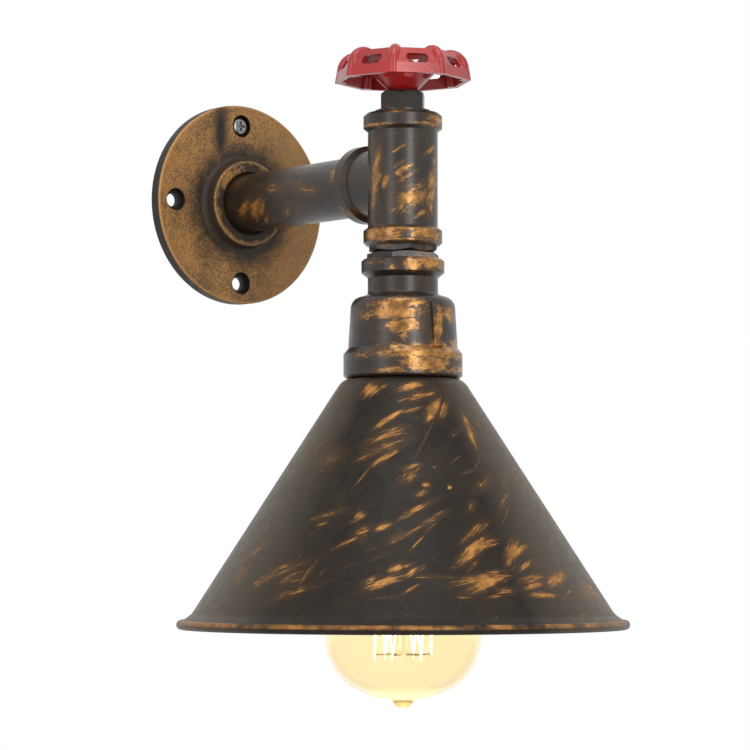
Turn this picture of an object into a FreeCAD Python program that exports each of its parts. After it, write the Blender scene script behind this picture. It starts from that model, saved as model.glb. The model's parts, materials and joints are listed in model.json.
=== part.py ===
"""Industrial pipe wall light: wall flange, pipe arm, tee with a handwheel, bell cup, cone shade and bulb.

Millimetres, +Z up. The origin is the centre of the flange's back face, the wall is the plane y = 0,
the arm runs along -Y and the lamp hangs on a vertical axis at y = -wall_to_lamp.
"""
import FreeCAD
import Part
import Sketcher
import math
import os

DIMENSIONS = [
    # wall flange and its screw
    ("flange_radius", 46.6), ("flange_thickness", 6.0), ("flange_edge_round", 0.9),
    ("hub_radius", 19.8), ("hub_height", 6.4), ("hub_root_round", 2.6), ("hub_mouth_chamfer", 1.6),
    ("screw_circle_radius", 37.0), ("screw_hole_radius", 3.1),
    ("head_recess_radius", 5.25), ("head_recess_depth", 3.2),
    ("screw_head_radius", 4.4), ("screw_head_height", 2.5), ("screw_shank_radius", 2.5),
    ("screw_slot_width", 1.1), ("screw_slot_length", 4.6), ("screw_slot_depth", 1.3), ("screw_tip_inset", 0.6),
    # arm pipe and the threads it shares with the fittings
    ("pipe_radius", 13.45), ("pipe_wall", 2.65), ("pipe_end_inset", 1.5),
    ("thread_clearance", 0.05), ("thread_depth", 12.0), ("seat_gap", 0.1),
    # tee
    ("wall_to_lamp", 127.5), ("tee_body_radius", 15.3), ("tee_band_radius", 17.25),
    ("tee_band_width", 5.2), ("tee_band_taper", 1.5), ("tee_edge_chamfer", 1.3),
    ("tee_half_height", 29.0), ("tee_branch_length", 29.0), ("tee_bore_radius", 12.2),
    # valve stem, gland and handwheel
    ("bush_rim_radius", 12.2), ("bush_rim_height", 1.4), ("stem_radius", 4.0), ("running_clearance", 0.08),
    ("stem_collar_radius", 6.0), ("stem_collar_height", 2.4), ("packing_radius", 6.6), ("packing_height", 4.0),
    ("gland_flats", 18.3), ("gland_height", 8.5), ("gland_top_radius", 8.3), ("gland_chamfer_drop", 1.9),
    ("gland_turn", 47.0), ("wheel_turn", -2.0), ("wheel_gap", 0.3),
    ("wheel_corner_radius", 30.2), ("wheel_bar_height", 4.6), ("wheel_bar_lean", 0.8), ("wheel_bar_wall", 2.3),
    ("wheel_skirt_lift", 4.0), ("wheel_total_rise", 13.6), ("wheel_rib_radius", 2.5),
    ("wheel_rib_bend", 6.0), ("wheel_rib_inner_reach", 17.4),
    ("wheel_ring_corner", 25.0), ("wheel_ring_width", 4.3), ("wheel_ring_drop", 2.1), ("wheel_ring_height", 2.6),
    ("wheel_hub_radius", 6.2), ("wheel_hub_height", 7.0), ("wheel_web_thickness", 2.2),
    ("wheel_web_inner", 11.2), ("wheel_web_outer", 18.4), ("wheel_web_margin", 1.2), ("wheel_spoke_width", 3.8),
    ("wheel_window_round", 1.2), ("wheel_shoulder_width", 9.7), ("wheel_shoulder_round", 1.9),
    ("stem_square", 5.6), ("stem_top_radius", 2.5), ("wheel_washer_radius", 5.6), ("wheel_washer_height", 1.0),
    ("wheel_nut_flats", 8.0), ("wheel_nut_height", 4.0), ("stem_tip_height", 1.2),
    # hexagon bushes and the threaded tube that ties them together
    ("upper_hex_flats", 26.9), ("upper_hex_height", 2.9), ("upper_hex_turn", 3.6),
    ("lower_hex_flats", 27.8), ("lower_hex_height", 3.1), ("lower_hex_turn", 34.6),
    ("hex_waist_radius", 13.0), ("hex_chamfer_drop", 1.0), ("bush_male_length", 11.5),
    ("tube_radius", 5.0), ("tube_bore_radius", 4.0), ("tube_nut_flats", 14.0), ("tube_nut_height", 3.0),
    ("tube_stick_out", 1.0), ("earth_tag_radius", 8.0), ("earth_tag_thickness", 0.8),
    ("earth_tag_width", 4.4), ("earth_tag_reach", 10.6),
    # lamp cup
    ("cup_collar_radius", 18.15), ("cup_collar_height", 5.9), ("cup_collar_taper", 2.2), ("cup_edge_chamfer", 0.9),
    ("cup_neck_radius", 15.35), ("cup_neck_length", 7.3), ("cup_neck_fillet", 1.5), ("cup_shoulder_drop", 2.2),
    ("cup_shoulder_radius", 22.6), ("cup_shoulder_round", 5.2), ("cup_inner_drop", 4.0),
    ("cup_body_height", 23.4), ("cup_body_flare", 1.3), ("cup_rim_radius", 25.95), ("cup_rim_chamfer_drop", 2.6),
    ("cup_rim_height", 10.4), ("cup_wall", 2.4), ("cup_rib_width", 5.5), ("cup_rib_proud", 1.5), ("cup_rib_start", 4.4), ("cup_rib_rise", 3.1),
    ("cup_rib_root", 0.6), ("cup_mouth_radius", 21.4),
    # lampholder
    ("holder_radius", 19.0), ("holder_wall", 2.0), ("holder_hub_radius", 7.6), ("holder_hub_height", 3.6),
    ("holder_drop", 10.8), ("holder_dome_height", 24.0), ("holder_dome_round", 6.0), ("tube_grip", 5.0),
    ("insert_thickness", 12.0), ("insert_clearance", 0.2), ("skirt_wall", 2.3), ("skirt_height", 33.0),
    ("skirt_ledge_radius", 15.4), ("socket_radius", 13.45), ("socket_wall", 0.5), ("socket_height", 21.0), ("socket_flange_gap", 3.0),
    ("contact_pad_radius", 3.4), ("contact_pad_height", 1.5), ("contact_pin_radius", 1.5),
    ("terminal_spread", 9.0), ("terminal_head_radius", 2.6), ("terminal_head_height", 2.2),
    ("wire_radius", 1.1), ("wire_spread", 1.8), ("wire_height", 4.0), ("wire_bend", 9.0), ("wire_end_inset", 1.0),
    ("wire_fan_drop", 3.0), ("wire_fan_bend", 6.0), ("wire_terminal_drop", 6.0),
    # shade and its ring
    ("shade_hole_clearance", 0.3), ("shade_top_radius", 25.9), ("shade_top_round", 8.0),
    ("shade_cone_radius", 91.5), ("shade_cone_height", 102.2), ("shade_lip_round", 4.0),
    ("shade_lip_reach", 6.7), ("shade_bead_radius", 2.0), ("shade_lip_drop", 4.1), ("shade_thickness", 1.2),
    ("shade_ring_radius", 23.4), ("shade_ring_height", 5.0), ("shade_ring_chamfer", 2.2),
    # bulb
    ("cap_clearance", 0.25), ("cap_wall", 0.5), ("cap_height", 21.5), ("contact_gap", 0.25),
    ("bulb_contact_radius", 4.6), ("bulb_contact_height", 1.0), ("bulb_insulator_height", 1.9),
    ("bulb_insulator_reach", 1.4), ("cap_shoulder", 2.2), ("cap_seal", 6.0), ("glass_collar_start", 1.0),
    ("glass_collar_end", 3.0), ("bulb_neck_radius", 14.2), ("bulb_neck_length", 12.0), ("bulb_neck_round", 30.0),
    ("bulb_radius", 34.1), ("bulb_length", 128.0), ("bulb_shoulder_drop", 35.6), ("bulb_shoulder_round", 37.7),
    ("bulb_side_round", 25.7), ("bulb_side_corner", 14.0), ("bulb_floor_radius", 12.0), ("bulb_floor_height", 4.2),
    ("bulb_floor_round", 30.0), ("bulb_tip_height", 3.6), ("bulb_tip_radius", 5.6), ("bulb_tip_root", 0.6),
    ("bulb_tip_round", 2.2),
    ("glass_wall", 0.9), ("glass_seat_clearance", 0.1),
    ("mount_flare_wall", 1.2), ("mount_flare_drop", 8.0), ("mount_tube_radius", 5.3), ("mount_pinch_radius", 4.3),
    ("mount_flare_height", 26.0), ("mount_pinch_drop", 3.0), ("mount_rod_radius", 1.7), ("mount_button_radius", 2.8),
    ("mount_button_height", 1.8), ("mount_button_taper", 0.7),
    ("filament_top", 68.0), ("filament_bottom", 22.0), ("filament_ring_radius", 12.5), ("filament_radius", 0.4),
    ("support_radius", 0.35),
]


class Size:
    """A length that carries both its value and the sheet formula that gives it."""

    def __init__(self, value, formula):
        self.value = value
        self.formula = formula

    def __add__(self, other):
        other = as_size(other)
        return Size(self.value + other.value, f"({self.formula} + {other.formula})")

    def __sub__(self, other):
        other = as_size(other)
        return Size(self.value - other.value, f"({self.formula} - {other.formula})")

    def __mul__(self, factor):
        return Size(self.value * factor, f"({self.formula} * {factor:.10f})")

    def __truediv__(self, factor):
        return self * (1.0 / factor)

    def __neg__(self):
        return self * -1.0


def as_size(value):
    return value if isinstance(value, Size) else Size(float(value), f"{float(value):.6f}")


class Sizes:
    """The driving dimensions, one sheet cell each."""

    def __init__(self, document):
        sheet = document.addObject("Spreadsheet::Sheet", "Sizes")
        for row, (name, value) in enumerate(DIMENSIONS, start=1):
            sheet.set(f"A{row}", name)
            sheet.set(f"B{row}", str(value))
            sheet.setAlias(f"B{row}", name)
            setattr(self, name, Size(float(value), f"Sizes.{name}"))


doc = FreeCAD.newDocument("PipeWallLight")
s = Sizes(doc)
doc.recompute()
ZERO = as_size(0.0)
ROOT_SIX = math.cos(math.radians(30))
FILAMENT_RUNS = 6


# ---------------------------------------------------------------- drawing helpers

def bind(item, path, size):
    item.setExpression(path, size.formula)


def new_body(label, y=ZERO, z=ZERO, turn=None):
    """A body whose own origin lies at (0, y, z), turned about +Z by a number of degrees."""
    body = doc.addObject("PartDesign::Body", label)
    body.Label = label
    body.AllowCompound = True
    bind(body, ".Placement.Base.y", y)
    bind(body, ".Placement.Base.z", z)
    if turn is not None:
        body.Placement = FreeCAD.Placement(FreeCAD.Vector(0, y.value, z.value), FreeCAD.Rotation(turn.value, 0, 0))
    return body


def origin_part(body, role):
    return next(item for item in body.Origin.OriginFeatures if item.Role == role)


def new_sketch(body, role, name, lift=None):
    """A sketch on one of the body's own planes, lifted along the plane's normal."""
    sketch = body.newObject("Sketcher::SketchObject", name)
    sketch.AttachmentSupport = [(origin_part(body, role), "")]
    sketch.MapMode = "FlatFace"
    if lift is not None:
        sketch.AttachmentOffset = FreeCAD.Placement(FreeCAD.Vector(0, 0, lift.value), FreeCAD.Rotation())
        bind(sketch, ".AttachmentOffset.Base.z", lift)
    return sketch


def pin_point(sketch, geometry, position, x, y):
    """Tie a point to its place, each distance from the sheet."""
    for kind, size, axis in (("DistanceX", x, -2), ("DistanceY", y, -1)):
        if size.value == 0.0:
            sketch.addConstraint(Sketcher.Constraint("PointOnObject", geometry, position, axis))
        else:
            index = sketch.addConstraint(Sketcher.Constraint(kind, -1, 1, geometry, position, size.value))
            sketch.setExpression(f"Constraints[{index}]", size.formula)


def vector(point):
    return FreeCAD.Vector(point[0].value, point[1].value, 0)


def outline(sketch, corners):
    """A closed outline through corners (x, y) or (x, y, rounding), every value a Size."""
    corners = [tuple(as_size(item) for item in corner) for corner in corners]
    count = len(corners)
    points = [vector(corner) for corner in corners]
    starts, ends, arcs = list(points), list(points), {}
    for i, corner in enumerate(corners):
        if len(corner) < 3:
            continue
        back = (points[i - 1] - points[i]).normalize()
        ahead = (points[(i + 1) % count] - points[i]).normalize()
        half = back.getAngle(ahead) / 2
        reach = corner[2].value / math.tan(half)
        middle = points[i] + (back + ahead).normalize() * (corner[2].value / math.sin(half))
        ends[i] = points[i] + back * reach
        starts[i] = points[i] + ahead * reach
        turns_left = back.cross(ahead).z < 0
        first, last = (ends[i], starts[i]) if turns_left else (starts[i], ends[i])
        angles = [math.atan2(p.y - middle.y, p.x - middle.x) for p in (first, last)]
        circle = Part.Circle(middle, FreeCAD.Vector(0, 0, 1), corner[2].value)
        arcs[i] = (Part.ArcOfCircle(circle, angles[0], angles[1]), turns_left)
    lines = [sketch.addGeometry(Part.LineSegment(starts[i], ends[(i + 1) % count])) for i in range(count)]
    for i, corner in enumerate(corners):
        before, after = lines[i - 1], lines[i]
        if i not in arcs:
            sketch.addConstraint(Sketcher.Constraint("Coincident", before, 2, after, 1))
            pin_point(sketch, after, 1, corner[0], corner[1])
            continue
        arc, turns_left = arcs[i]
        bend = sketch.addGeometry(arc)
        mark = sketch.addGeometry(Part.Point(points[i]), True)
        sketch.addConstraint([
            Sketcher.Constraint("Tangent", before, 2, bend, 1 if turns_left else 2),
            Sketcher.Constraint("Tangent", after, 1, bend, 2 if turns_left else 1),
            Sketcher.Constraint("PointOnObject", mark, 1, before),
            Sketcher.Constraint("PointOnObject", mark, 1, after),
        ])
        index = sketch.addConstraint(Sketcher.Constraint("Radius", bend, corner[2].value))
        sketch.setExpression(f"Constraints[{index}]", corner[2].formula)
        pin_point(sketch, mark, 1, corner[0], corner[1])


def circle(sketch, x, y, radius):
    ring = sketch.addGeometry(Part.Circle(FreeCAD.Vector(x.value, y.value, 0), FreeCAD.Vector(0, 0, 1), radius.value))
    pin_point(sketch, ring, 3, x, y)
    index = sketch.addConstraint(Sketcher.Constraint("Radius", ring, radius.value))
    sketch.setExpression(f"Constraints[{index}]", radius.formula)


def polygon(sketch, corner_radius, sides, first_angle=0.0):
    """A regular polygon about the sketch's origin."""
    corners = []
    for i in range(sides):
        angle = math.radians(first_angle + 360.0 * i / sides)
        across, along = round(math.cos(angle), 12), round(math.sin(angle), 12)
        corners.append((corner_radius * across if across else ZERO, corner_radius * along if along else ZERO))
    outline(sketch, corners)


def rectangle(sketch, left, right, low, high):
    outline(sketch, [(left, low), (right, low), (right, high), (left, high)])


def revolve(body, name, corners, kind="PartDesign::Revolution", role="XZ_Plane"):
    """Turn an outline in (radius, height) about the sketch's vertical axis."""
    sketch = new_sketch(body, role, name + "Profile")
    outline(sketch, corners)
    feature = body.newObject(kind, name)
    feature.Profile = sketch
    feature.ReferenceAxis = (sketch, ["V_Axis"])
    feature.Angle = 360.0
    return feature


def revolve_arm(body, name, corners, kind="PartDesign::Revolution"):
    """Turn an outline in (radius, y) about the arm's axis, the body's own Y axis."""
    return revolve(body, name, corners, kind, role="XY_Plane")


def pad(body, sketch, name, length, both_ways=False):
    feature = body.newObject("PartDesign::Pad", name)
    feature.Profile = sketch
    feature.Length = length.value
    bind(feature, "Length", length)
    feature.Midplane = both_ways
    return feature


def cut_through(body, sketch, name):
    """Cut the sketch right through the body, both ways."""
    feature = body.newObject("PartDesign::Pocket", name)
    feature.Profile = sketch
    feature.Type = "ThroughAll"
    feature.Midplane = True
    return feature


def ring_of(body, features, count, axis="Z_Axis"):
    """Repeat features evenly round one of the body's own axes."""
    pattern = body.newObject("PartDesign::PolarPattern", features[-1].Name + "Ring")
    pattern.Originals = features
    pattern.Axis = (origin_part(body, axis), [""])
    pattern.Angle = 360.0
    pattern.Occurrences = count
    body.Tip = pattern
    return pattern


def hexagon_bar(body, name, flats, bottom, height):
    """A hexagonal pad from one height upwards, a corner on +X."""
    sketch = new_sketch(body, "XY_Plane", name + "Hexagon", bottom)
    polygon(sketch, flats / 2 / ROOT_SIX, 6)
    return pad(body, sketch, name, height)


def hexagon_nut(label, flats, bore, bottom, height, y, turn=None):
    """A plain nut with a round bore."""
    body = new_body(label, y, bottom, turn)
    hexagon_bar(body, label + "Nut", flats, ZERO, height)
    sketch = new_sketch(body, "XY_Plane", label + "Bore")
    circle(sketch, ZERO, ZERO, bore)
    cut_through(body, sketch, label + "Cut")
    return body


def solid_piece(label, shape):
    piece = doc.addObject("Part::Feature", label)
    piece.Label = label
    piece.Shape = shape
    return piece


# ---------------------------------------------------------------- heights on the lamp axis, from the arm axis

lamp_y = -s.wall_to_lamp
tee_top = s.tee_half_height
bush_top = tee_top + s.bush_rim_height
gland_top = bush_top + s.gland_height
wheel_bottom = gland_top + s.wheel_gap
skirt_bottom = wheel_bottom + s.wheel_skirt_lift
bush_foot = tee_top - s.bush_male_length

tee_bottom = -s.tee_half_height
hex_waist = tee_bottom - s.upper_hex_height
cup_top = hex_waist - s.lower_hex_height
lower_bush_foot = cup_top - s.bush_male_length
cup_collar_bottom = cup_top - s.cup_collar_height
cup_neck_bottom = cup_collar_bottom - s.cup_collar_taper - s.cup_neck_length
cup_body_bottom = cup_neck_bottom - s.cup_body_height
cup_bottom = cup_body_bottom - s.cup_rim_chamfer_drop - s.cup_rim_height
shade_underside = cup_bottom - s.shade_thickness

lower_nut_bottom = lower_bush_foot - s.tube_nut_height
holder_top = lower_nut_bottom - s.holder_drop
dome_top = holder_top - s.holder_hub_height
insert_top = dome_top - s.holder_dome_height
insert_bottom = insert_top - s.insert_thickness
socket_bottom = insert_bottom - s.socket_height
bulb_top = insert_bottom - s.contact_pad_height - s.contact_gap
bulb_end = bulb_top - s.bulb_length
thread_bore = s.pipe_radius + s.thread_clearance


# ---------------------------------------------------------------- wall flange, its screw and the arm

def wall_flange():
    """Cast floor flange: a round plate with a raised hub, four counterbored screw holes and a through thread."""
    body = new_body("wall_flange")
    front = -s.flange_thickness
    hub_front = front - s.hub_height
    revolve_arm(body, "FlangeCasting", [
        (thread_bore, ZERO), (thread_bore, hub_front + s.hub_mouth_chamfer),
        (thread_bore + s.hub_mouth_chamfer, hub_front), (s.hub_radius, hub_front, s.flange_edge_round),
        (s.hub_radius + s.hub_root_round / 2, front, s.hub_root_round),
        (s.flange_radius, front, s.flange_edge_round), (s.flange_radius, ZERO)])
    sketch = new_sketch(body, "XZ_Plane", "ScrewHoleCircle")
    circle(sketch, ZERO, s.screw_circle_radius, s.screw_hole_radius)
    hole = cut_through(body, sketch, "ScrewHole")
    ring_of(body, [hole], 4, "Y_Axis")
    sketch = new_sketch(body, "XZ_Plane", "HeadRecessCircle", s.flange_thickness - s.head_recess_depth)
    circle(sketch, ZERO, s.screw_circle_radius, s.head_recess_radius)
    recess = body.newObject("PartDesign::Pocket", "HeadRecess")
    recess.Profile = sketch
    recess.Reversed = True
    recess.Length = s.head_recess_depth.value + 1.0
    bind(recess, "Length", s.head_recess_depth + 1.0)
    ring_of(body, [recess], 4, "Y_Axis")


def flange_screw():
    """Pan-head screw in the top hole, its shank ending inside the plate."""
    body = new_body("flange_screw", ZERO, s.screw_circle_radius)
    seat = s.head_recess_depth - s.flange_thickness
    top = seat - s.screw_head_height
    revolve_arm(body, "ScrewBody", [
        (ZERO, -s.screw_tip_inset), (s.screw_shank_radius, -s.screw_tip_inset), (s.screw_shank_radius, seat),
        (s.screw_head_radius, seat), (s.screw_head_radius, top, s.screw_head_height * 0.8), (ZERO, top)])
    for name, wide, tall in (("Across", s.screw_slot_length, s.screw_slot_width),
                             ("Upright", s.screw_slot_width, s.screw_slot_length)):
        sketch = new_sketch(body, "XZ_Plane", "Drive" + name, -top - s.screw_slot_depth)
        rectangle(sketch, -wide / 2, wide / 2, -tall / 2, tall / 2)
        slot = body.newObject("PartDesign::Pocket", "Slot" + name)
        slot.Profile = sketch
        slot.Reversed = True
        slot.Length = s.screw_slot_depth.value + 1.0
        bind(slot, "Length", s.screw_slot_depth + 1.0)


def arm_pipe():
    """Steel pipe from the flange to the tee's branch."""
    body = new_body("arm_pipe")
    bore = s.pipe_radius - s.pipe_wall
    near = -s.pipe_end_inset
    far = lamp_y + s.tee_branch_length - s.thread_depth + s.seat_gap
    revolve_arm(body, "Pipe", [(bore, near), (s.pipe_radius, near), (s.pipe_radius, far), (bore, far)])


# ---------------------------------------------------------------- tee

def banded_end(body_radius, length):
    """Outer half profile of one tee end: plain body, short taper, band and chamfered edge."""
    band_start = length - s.tee_edge_chamfer - s.tee_band_width
    return [(body_radius, band_start - s.tee_band_taper), (s.tee_band_radius, band_start),
            (s.tee_band_radius, length - s.tee_edge_chamfer), (s.tee_band_radius - s.tee_edge_chamfer, length)]


def tee():
    """Malleable iron tee with banded ends, its branch towards the wall."""
    body = new_body("tee", lamp_y)
    upper = banded_end(s.tee_body_radius, tee_top)
    lower = [(radius, -height) for radius, height in reversed(upper)]
    revolve(body, "Run", [(ZERO, tee_bottom)] + lower + upper + [(ZERO, tee_top)])
    branch = banded_end(s.tee_body_radius, s.tee_branch_length)
    revolve_arm(body, "Branch", [(ZERO, ZERO), (s.tee_body_radius, ZERO)] + branch + [(ZERO, s.tee_branch_length)])
    shoulder = tee_top - s.thread_depth
    revolve(body, "RunBore", [
        (ZERO, tee_bottom), (thread_bore, tee_bottom), (thread_bore, -shoulder), (s.tee_bore_radius, -shoulder),
        (s.tee_bore_radius, shoulder), (thread_bore, shoulder), (thread_bore, tee_top), (ZERO, tee_top)],
        "PartDesign::Groove")
    branch_shoulder = s.tee_branch_length - s.thread_depth
    revolve_arm(body, "BranchBore", [
        (ZERO, ZERO), (s.tee_bore_radius, ZERO), (s.tee_bore_radius, branch_shoulder),
        (thread_bore, branch_shoulder), (thread_bore, s.tee_branch_length), (ZERO, s.tee_branch_length)],
        "PartDesign::Groove")


# ---------------------------------------------------------------- valve stem, gland and handwheel

def stem_bush():
    """Reducing bush that closes the tee's top port and carries the stem."""
    body = new_body("stem_bush", lamp_y)
    bore = s.stem_radius + s.running_clearance
    pocket = bush_top - s.packing_height
    revolve(body, "Bush", [
        (bore, bush_foot), (s.pipe_radius, bush_foot), (s.pipe_radius, tee_top), (s.bush_rim_radius, tee_top + s.seat_gap),
        (s.bush_rim_radius, bush_top), (s.packing_radius, bush_top), (s.packing_radius, pocket), (bore, pocket)])


def gland_packing():
    """Packing ring under the gland nut."""
    body = new_body("gland_packing", lamp_y)
    outer = s.packing_radius - s.seat_gap
    bore = s.stem_radius + s.running_clearance
    bottom = bush_top - s.packing_height
    top = bush_top - s.seat_gap
    revolve(body, "Packing", [(bore, bottom), (outer, bottom), (outer, top), (bore, top)])


def chamfered_hexagon(body, name, flats, bottom, height, small_radius, drop, at_top):
    """A hexagonal pad whose corners are turned away towards one end."""
    hexagon_bar(body, name, flats, bottom, height)
    corner = flats / 2 / ROOT_SIX
    top = bottom + height
    if at_top:
        profile = [(small_radius, top), (corner + 1.0, top), (corner + 1.0, top - drop), (corner, top - drop)]
    else:
        profile = [(small_radius, bottom), (corner + 1.0, bottom), (corner + 1.0, bottom + drop), (corner, bottom + drop)]
    revolve(body, name + "Chamfer", profile, "PartDesign::Groove")


def bore_through(body, name, radius):
    sketch = new_sketch(body, "XY_Plane", name + "Circle")
    circle(sketch, ZERO, ZERO, radius)
    cut_through(body, sketch, name)


def gland_nut():
    """Hexagonal gland nut on the bush, round the stem."""
    body = new_body("gland_nut", lamp_y, bush_top, s.gland_turn)
    chamfered_hexagon(body, "Gland", s.gland_flats, ZERO, s.gland_height, s.gland_top_radius,
                      s.gland_chamfer_drop, at_top=True)
    bore_through(body, "GlandBore", s.stem_radius + s.running_clearance)


def valve_stem():
    """Turned stem: a collar under the bush, a plain journal, a square for the wheel and a threaded tip."""
    body = new_body("valve_stem", lamp_y, ZERO, s.wheel_turn)
    collar_top = bush_foot - s.seat_gap
    collar_bottom = collar_top - s.stem_collar_height
    journal_top = wheel_bottom
    revolve(body, "Journal", [
        (ZERO, collar_bottom), (s.stem_collar_radius, collar_bottom), (s.stem_collar_radius, collar_top),
        (s.stem_radius, collar_top), (s.stem_radius, journal_top), (ZERO, journal_top)])
    sketch = new_sketch(body, "XY_Plane", "SquareEnd", journal_top)
    half = s.stem_square / 2
    rectangle(sketch, -half, half, -half, half)
    pad(body, sketch, "Square", s.wheel_hub_height)
    sketch = new_sketch(body, "XY_Plane", "TipEnd", journal_top + s.wheel_hub_height)
    circle(sketch, ZERO, ZERO, s.stem_top_radius)
    pad(body, sketch, "Tip", s.wheel_washer_height + s.wheel_nut_height + s.stem_tip_height)


def handwheel():
    """Cast eight-sided wheel: a leaning skirt that folds in over a windowed shoulder to a ring, eight ribs that
    curl over the corners, and a dished web with eight windows down to the hub."""
    body = new_body("handwheel", lamp_y, wheel_bottom, s.wheel_turn)
    bar_bottom = s.wheel_skirt_lift
    bar_top = bar_bottom + s.wheel_bar_height
    ring_top = bar_bottom + s.wheel_total_rise - s.wheel_ring_drop
    ring_bottom = ring_top - s.wheel_ring_height
    corners = ((bar_bottom, s.wheel_corner_radius), (bar_top, s.wheel_corner_radius - s.wheel_bar_lean),
               (ring_top, s.wheel_ring_corner))
    for name, kind, inset in (("ShellOutside", "PartDesign::AdditiveLoft", ZERO),
                              ("ShellInside", "PartDesign::SubtractiveLoft", s.wheel_bar_wall)):
        sections = []
        for height, corner in corners:
            sections.append(new_sketch(body, "XY_Plane", name + "Section", height))
            polygon(sections[-1], corner - inset, 8)
        loft = body.newObject(kind, name)
        loft.Profile = sections[0]
        loft.Sections = sections[1:]
        loft.Ruled = True
    cut_shoulder_windows(body, bar_top, ring_bottom)
    sketch = new_sketch(body, "XY_Plane", "RingSection", ring_bottom)
    polygon(sketch, s.wheel_ring_corner, 8)
    polygon(sketch, s.wheel_ring_corner - s.wheel_ring_width, 8)
    pad(body, sketch, "Ring", s.wheel_ring_height)
    handwheel_rib(body, bar_bottom)
    hub_top = s.wheel_hub_height
    web_edge = s.wheel_web_outer + s.wheel_web_margin
    revolve(body, "HubAndWeb", [
        (ZERO, ZERO), (s.wheel_hub_radius, ZERO), (web_edge, ring_bottom),
        (web_edge, ring_bottom + s.wheel_web_thickness), (s.wheel_hub_radius, hub_top), (ZERO, hub_top)])
    cut_web_windows(body)
    sketch = new_sketch(body, "XY_Plane", "SquareHole")
    half = s.stem_square / 2 + s.thread_clearance
    rectangle(sketch, -half, half, -half, half)
    cut_through(body, sketch, "StemHole")


def cut_shoulder_windows(body, low, high):
    """A round-cornered window through the shoulder's flat on one side and the opposite one, then round the wheel."""
    sketch = new_sketch(body, "XZ_Plane", "ShoulderWindowOutline")
    sketch.AttachmentOffset = FreeCAD.Placement(FreeCAD.Vector(), FreeCAD.Rotation(FreeCAD.Vector(0, 1, 0), 22.5))
    half = s.wheel_shoulder_width / 2
    bend = s.wheel_shoulder_round
    outline(sketch, [(-half, low, bend), (half, low, bend), (half, high, bend), (-half, high, bend)])
    window = cut_through(body, sketch, "ShoulderWindow")
    ring_of(body, [window], 8)


def handwheel_rib(body, bar_bottom):
    """One round rib: up the skirt's corner, over the shoulder and in to the web, then its seven copies."""
    slope = s.wheel_bar_lean.value / s.wheel_bar_height.value
    lean = math.atan(slope)
    bend = s.wheel_rib_bend
    foot = s.wheel_corner_radius - s.wheel_rib_radius
    rise = s.wheel_total_rise - s.wheel_rib_radius - bend * (1 - math.sin(lean))
    shoulder = foot - rise * slope
    shoulder_height = bar_bottom + rise
    low, high = vector((foot, bar_bottom)), vector((shoulder, shoulder_height))
    centre = high - FreeCAD.Vector(math.cos(lean), math.sin(lean), 0) * bend.value
    finish = math.pi - math.acos((centre.x - s.wheel_rib_inner_reach.value) / bend.value)
    path = new_sketch(body, "XZ_Plane", "RibPath")
    line = path.addGeometry(Part.LineSegment(low, high))
    rim = Part.Circle(centre, FreeCAD.Vector(0, 0, 1), bend.value)
    arc = path.addGeometry(Part.ArcOfCircle(rim, lean, finish))
    path.addConstraint(Sketcher.Constraint("Tangent", line, 2, arc, 1))
    pin_point(path, line, 1, foot, bar_bottom)
    pin_point(path, line, 2, shoulder, shoulder_height)
    index = path.addConstraint(Sketcher.Constraint("Radius", arc, bend.value))
    path.setExpression(f"Constraints[{index}]", bend.formula)
    index = path.addConstraint(Sketcher.Constraint("DistanceX", -1, 1, arc, 2, s.wheel_rib_inner_reach.value))
    path.setExpression(f"Constraints[{index}]", s.wheel_rib_inner_reach.formula)
    section = new_sketch(body, "XY_Plane", "RibSection", bar_bottom)
    circle(section, foot, ZERO, s.wheel_rib_radius)
    rib = body.newObject("PartDesign::AdditivePipe", "Rib")
    rib.Profile = section
    rib.Spine = (path, ["Edge1", "Edge2"])
    ring_of(body, [rib], 8)


def cut_web_windows(body):
    """A tapered window in the web halfway between two ribs, then its seven copies."""
    mid = math.radians(22.5)
    half_spoke = s.wheel_spoke_width / 2
    corners = []
    for radius, side in ((s.wheel_web_inner, 0), (s.wheel_web_outer, 0), (s.wheel_web_outer, 1), (s.wheel_web_inner, 1)):
        edge = 2 * mid if side else 0.0
        sign = -1.0 if side else 1.0
        across = radius * math.cos(edge) - half_spoke * (sign * math.sin(edge))
        along = radius * math.sin(edge) + half_spoke * (sign * math.cos(edge))
        corners.append((across, along, s.wheel_window_round))
    sketch = new_sketch(body, "XY_Plane", "WebWindowOutline")
    outline(sketch, corners)
    window = cut_through(body, sketch, "WebWindow")
    ring_of(body, [window], 8)


def wheel_fasteners():
    """Washer and nut that hold the wheel on the stem."""
    bore = s.stem_top_radius + s.thread_clearance
    hub_top = wheel_bottom + s.wheel_hub_height
    body = new_body("wheel_washer", lamp_y, hub_top, s.wheel_turn)
    height = s.wheel_washer_height
    revolve(body, "Washer", [(bore, ZERO), (s.wheel_washer_radius, ZERO), (s.wheel_washer_radius, height), (bore, height)])
    hexagon_nut("wheel_nut", s.wheel_nut_flats, bore, hub_top + height, s.wheel_nut_height, lamp_y, s.wheel_turn)


# ---------------------------------------------------------------- hexagon bushes and the threaded tube

def hexagon_bush(label, flats, height, turn, base, points_up):
    """A hexagon-headed bush bored for the threaded tube; its plain end stands for the pipe thread."""
    body = new_body(label, lamp_y, base, turn)
    bore = s.tube_radius + s.thread_clearance
    if points_up:
        chamfered_hexagon(body, "Head", flats, ZERO, height, s.hex_waist_radius, s.hex_chamfer_drop, at_top=False)
        low, high = height, height + s.bush_male_length
    else:
        chamfered_hexagon(body, "Head", flats, ZERO, height, s.hex_waist_radius, s.hex_chamfer_drop, at_top=True)
        low, high = -s.bush_male_length, ZERO
    sketch = new_sketch(body, "XY_Plane", "MaleEnd", low)
    circle(sketch, ZERO, ZERO, s.pipe_radius)
    pad(body, sketch, "Male", high - low)
    bore_through(body, "TubeBore", bore)


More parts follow.
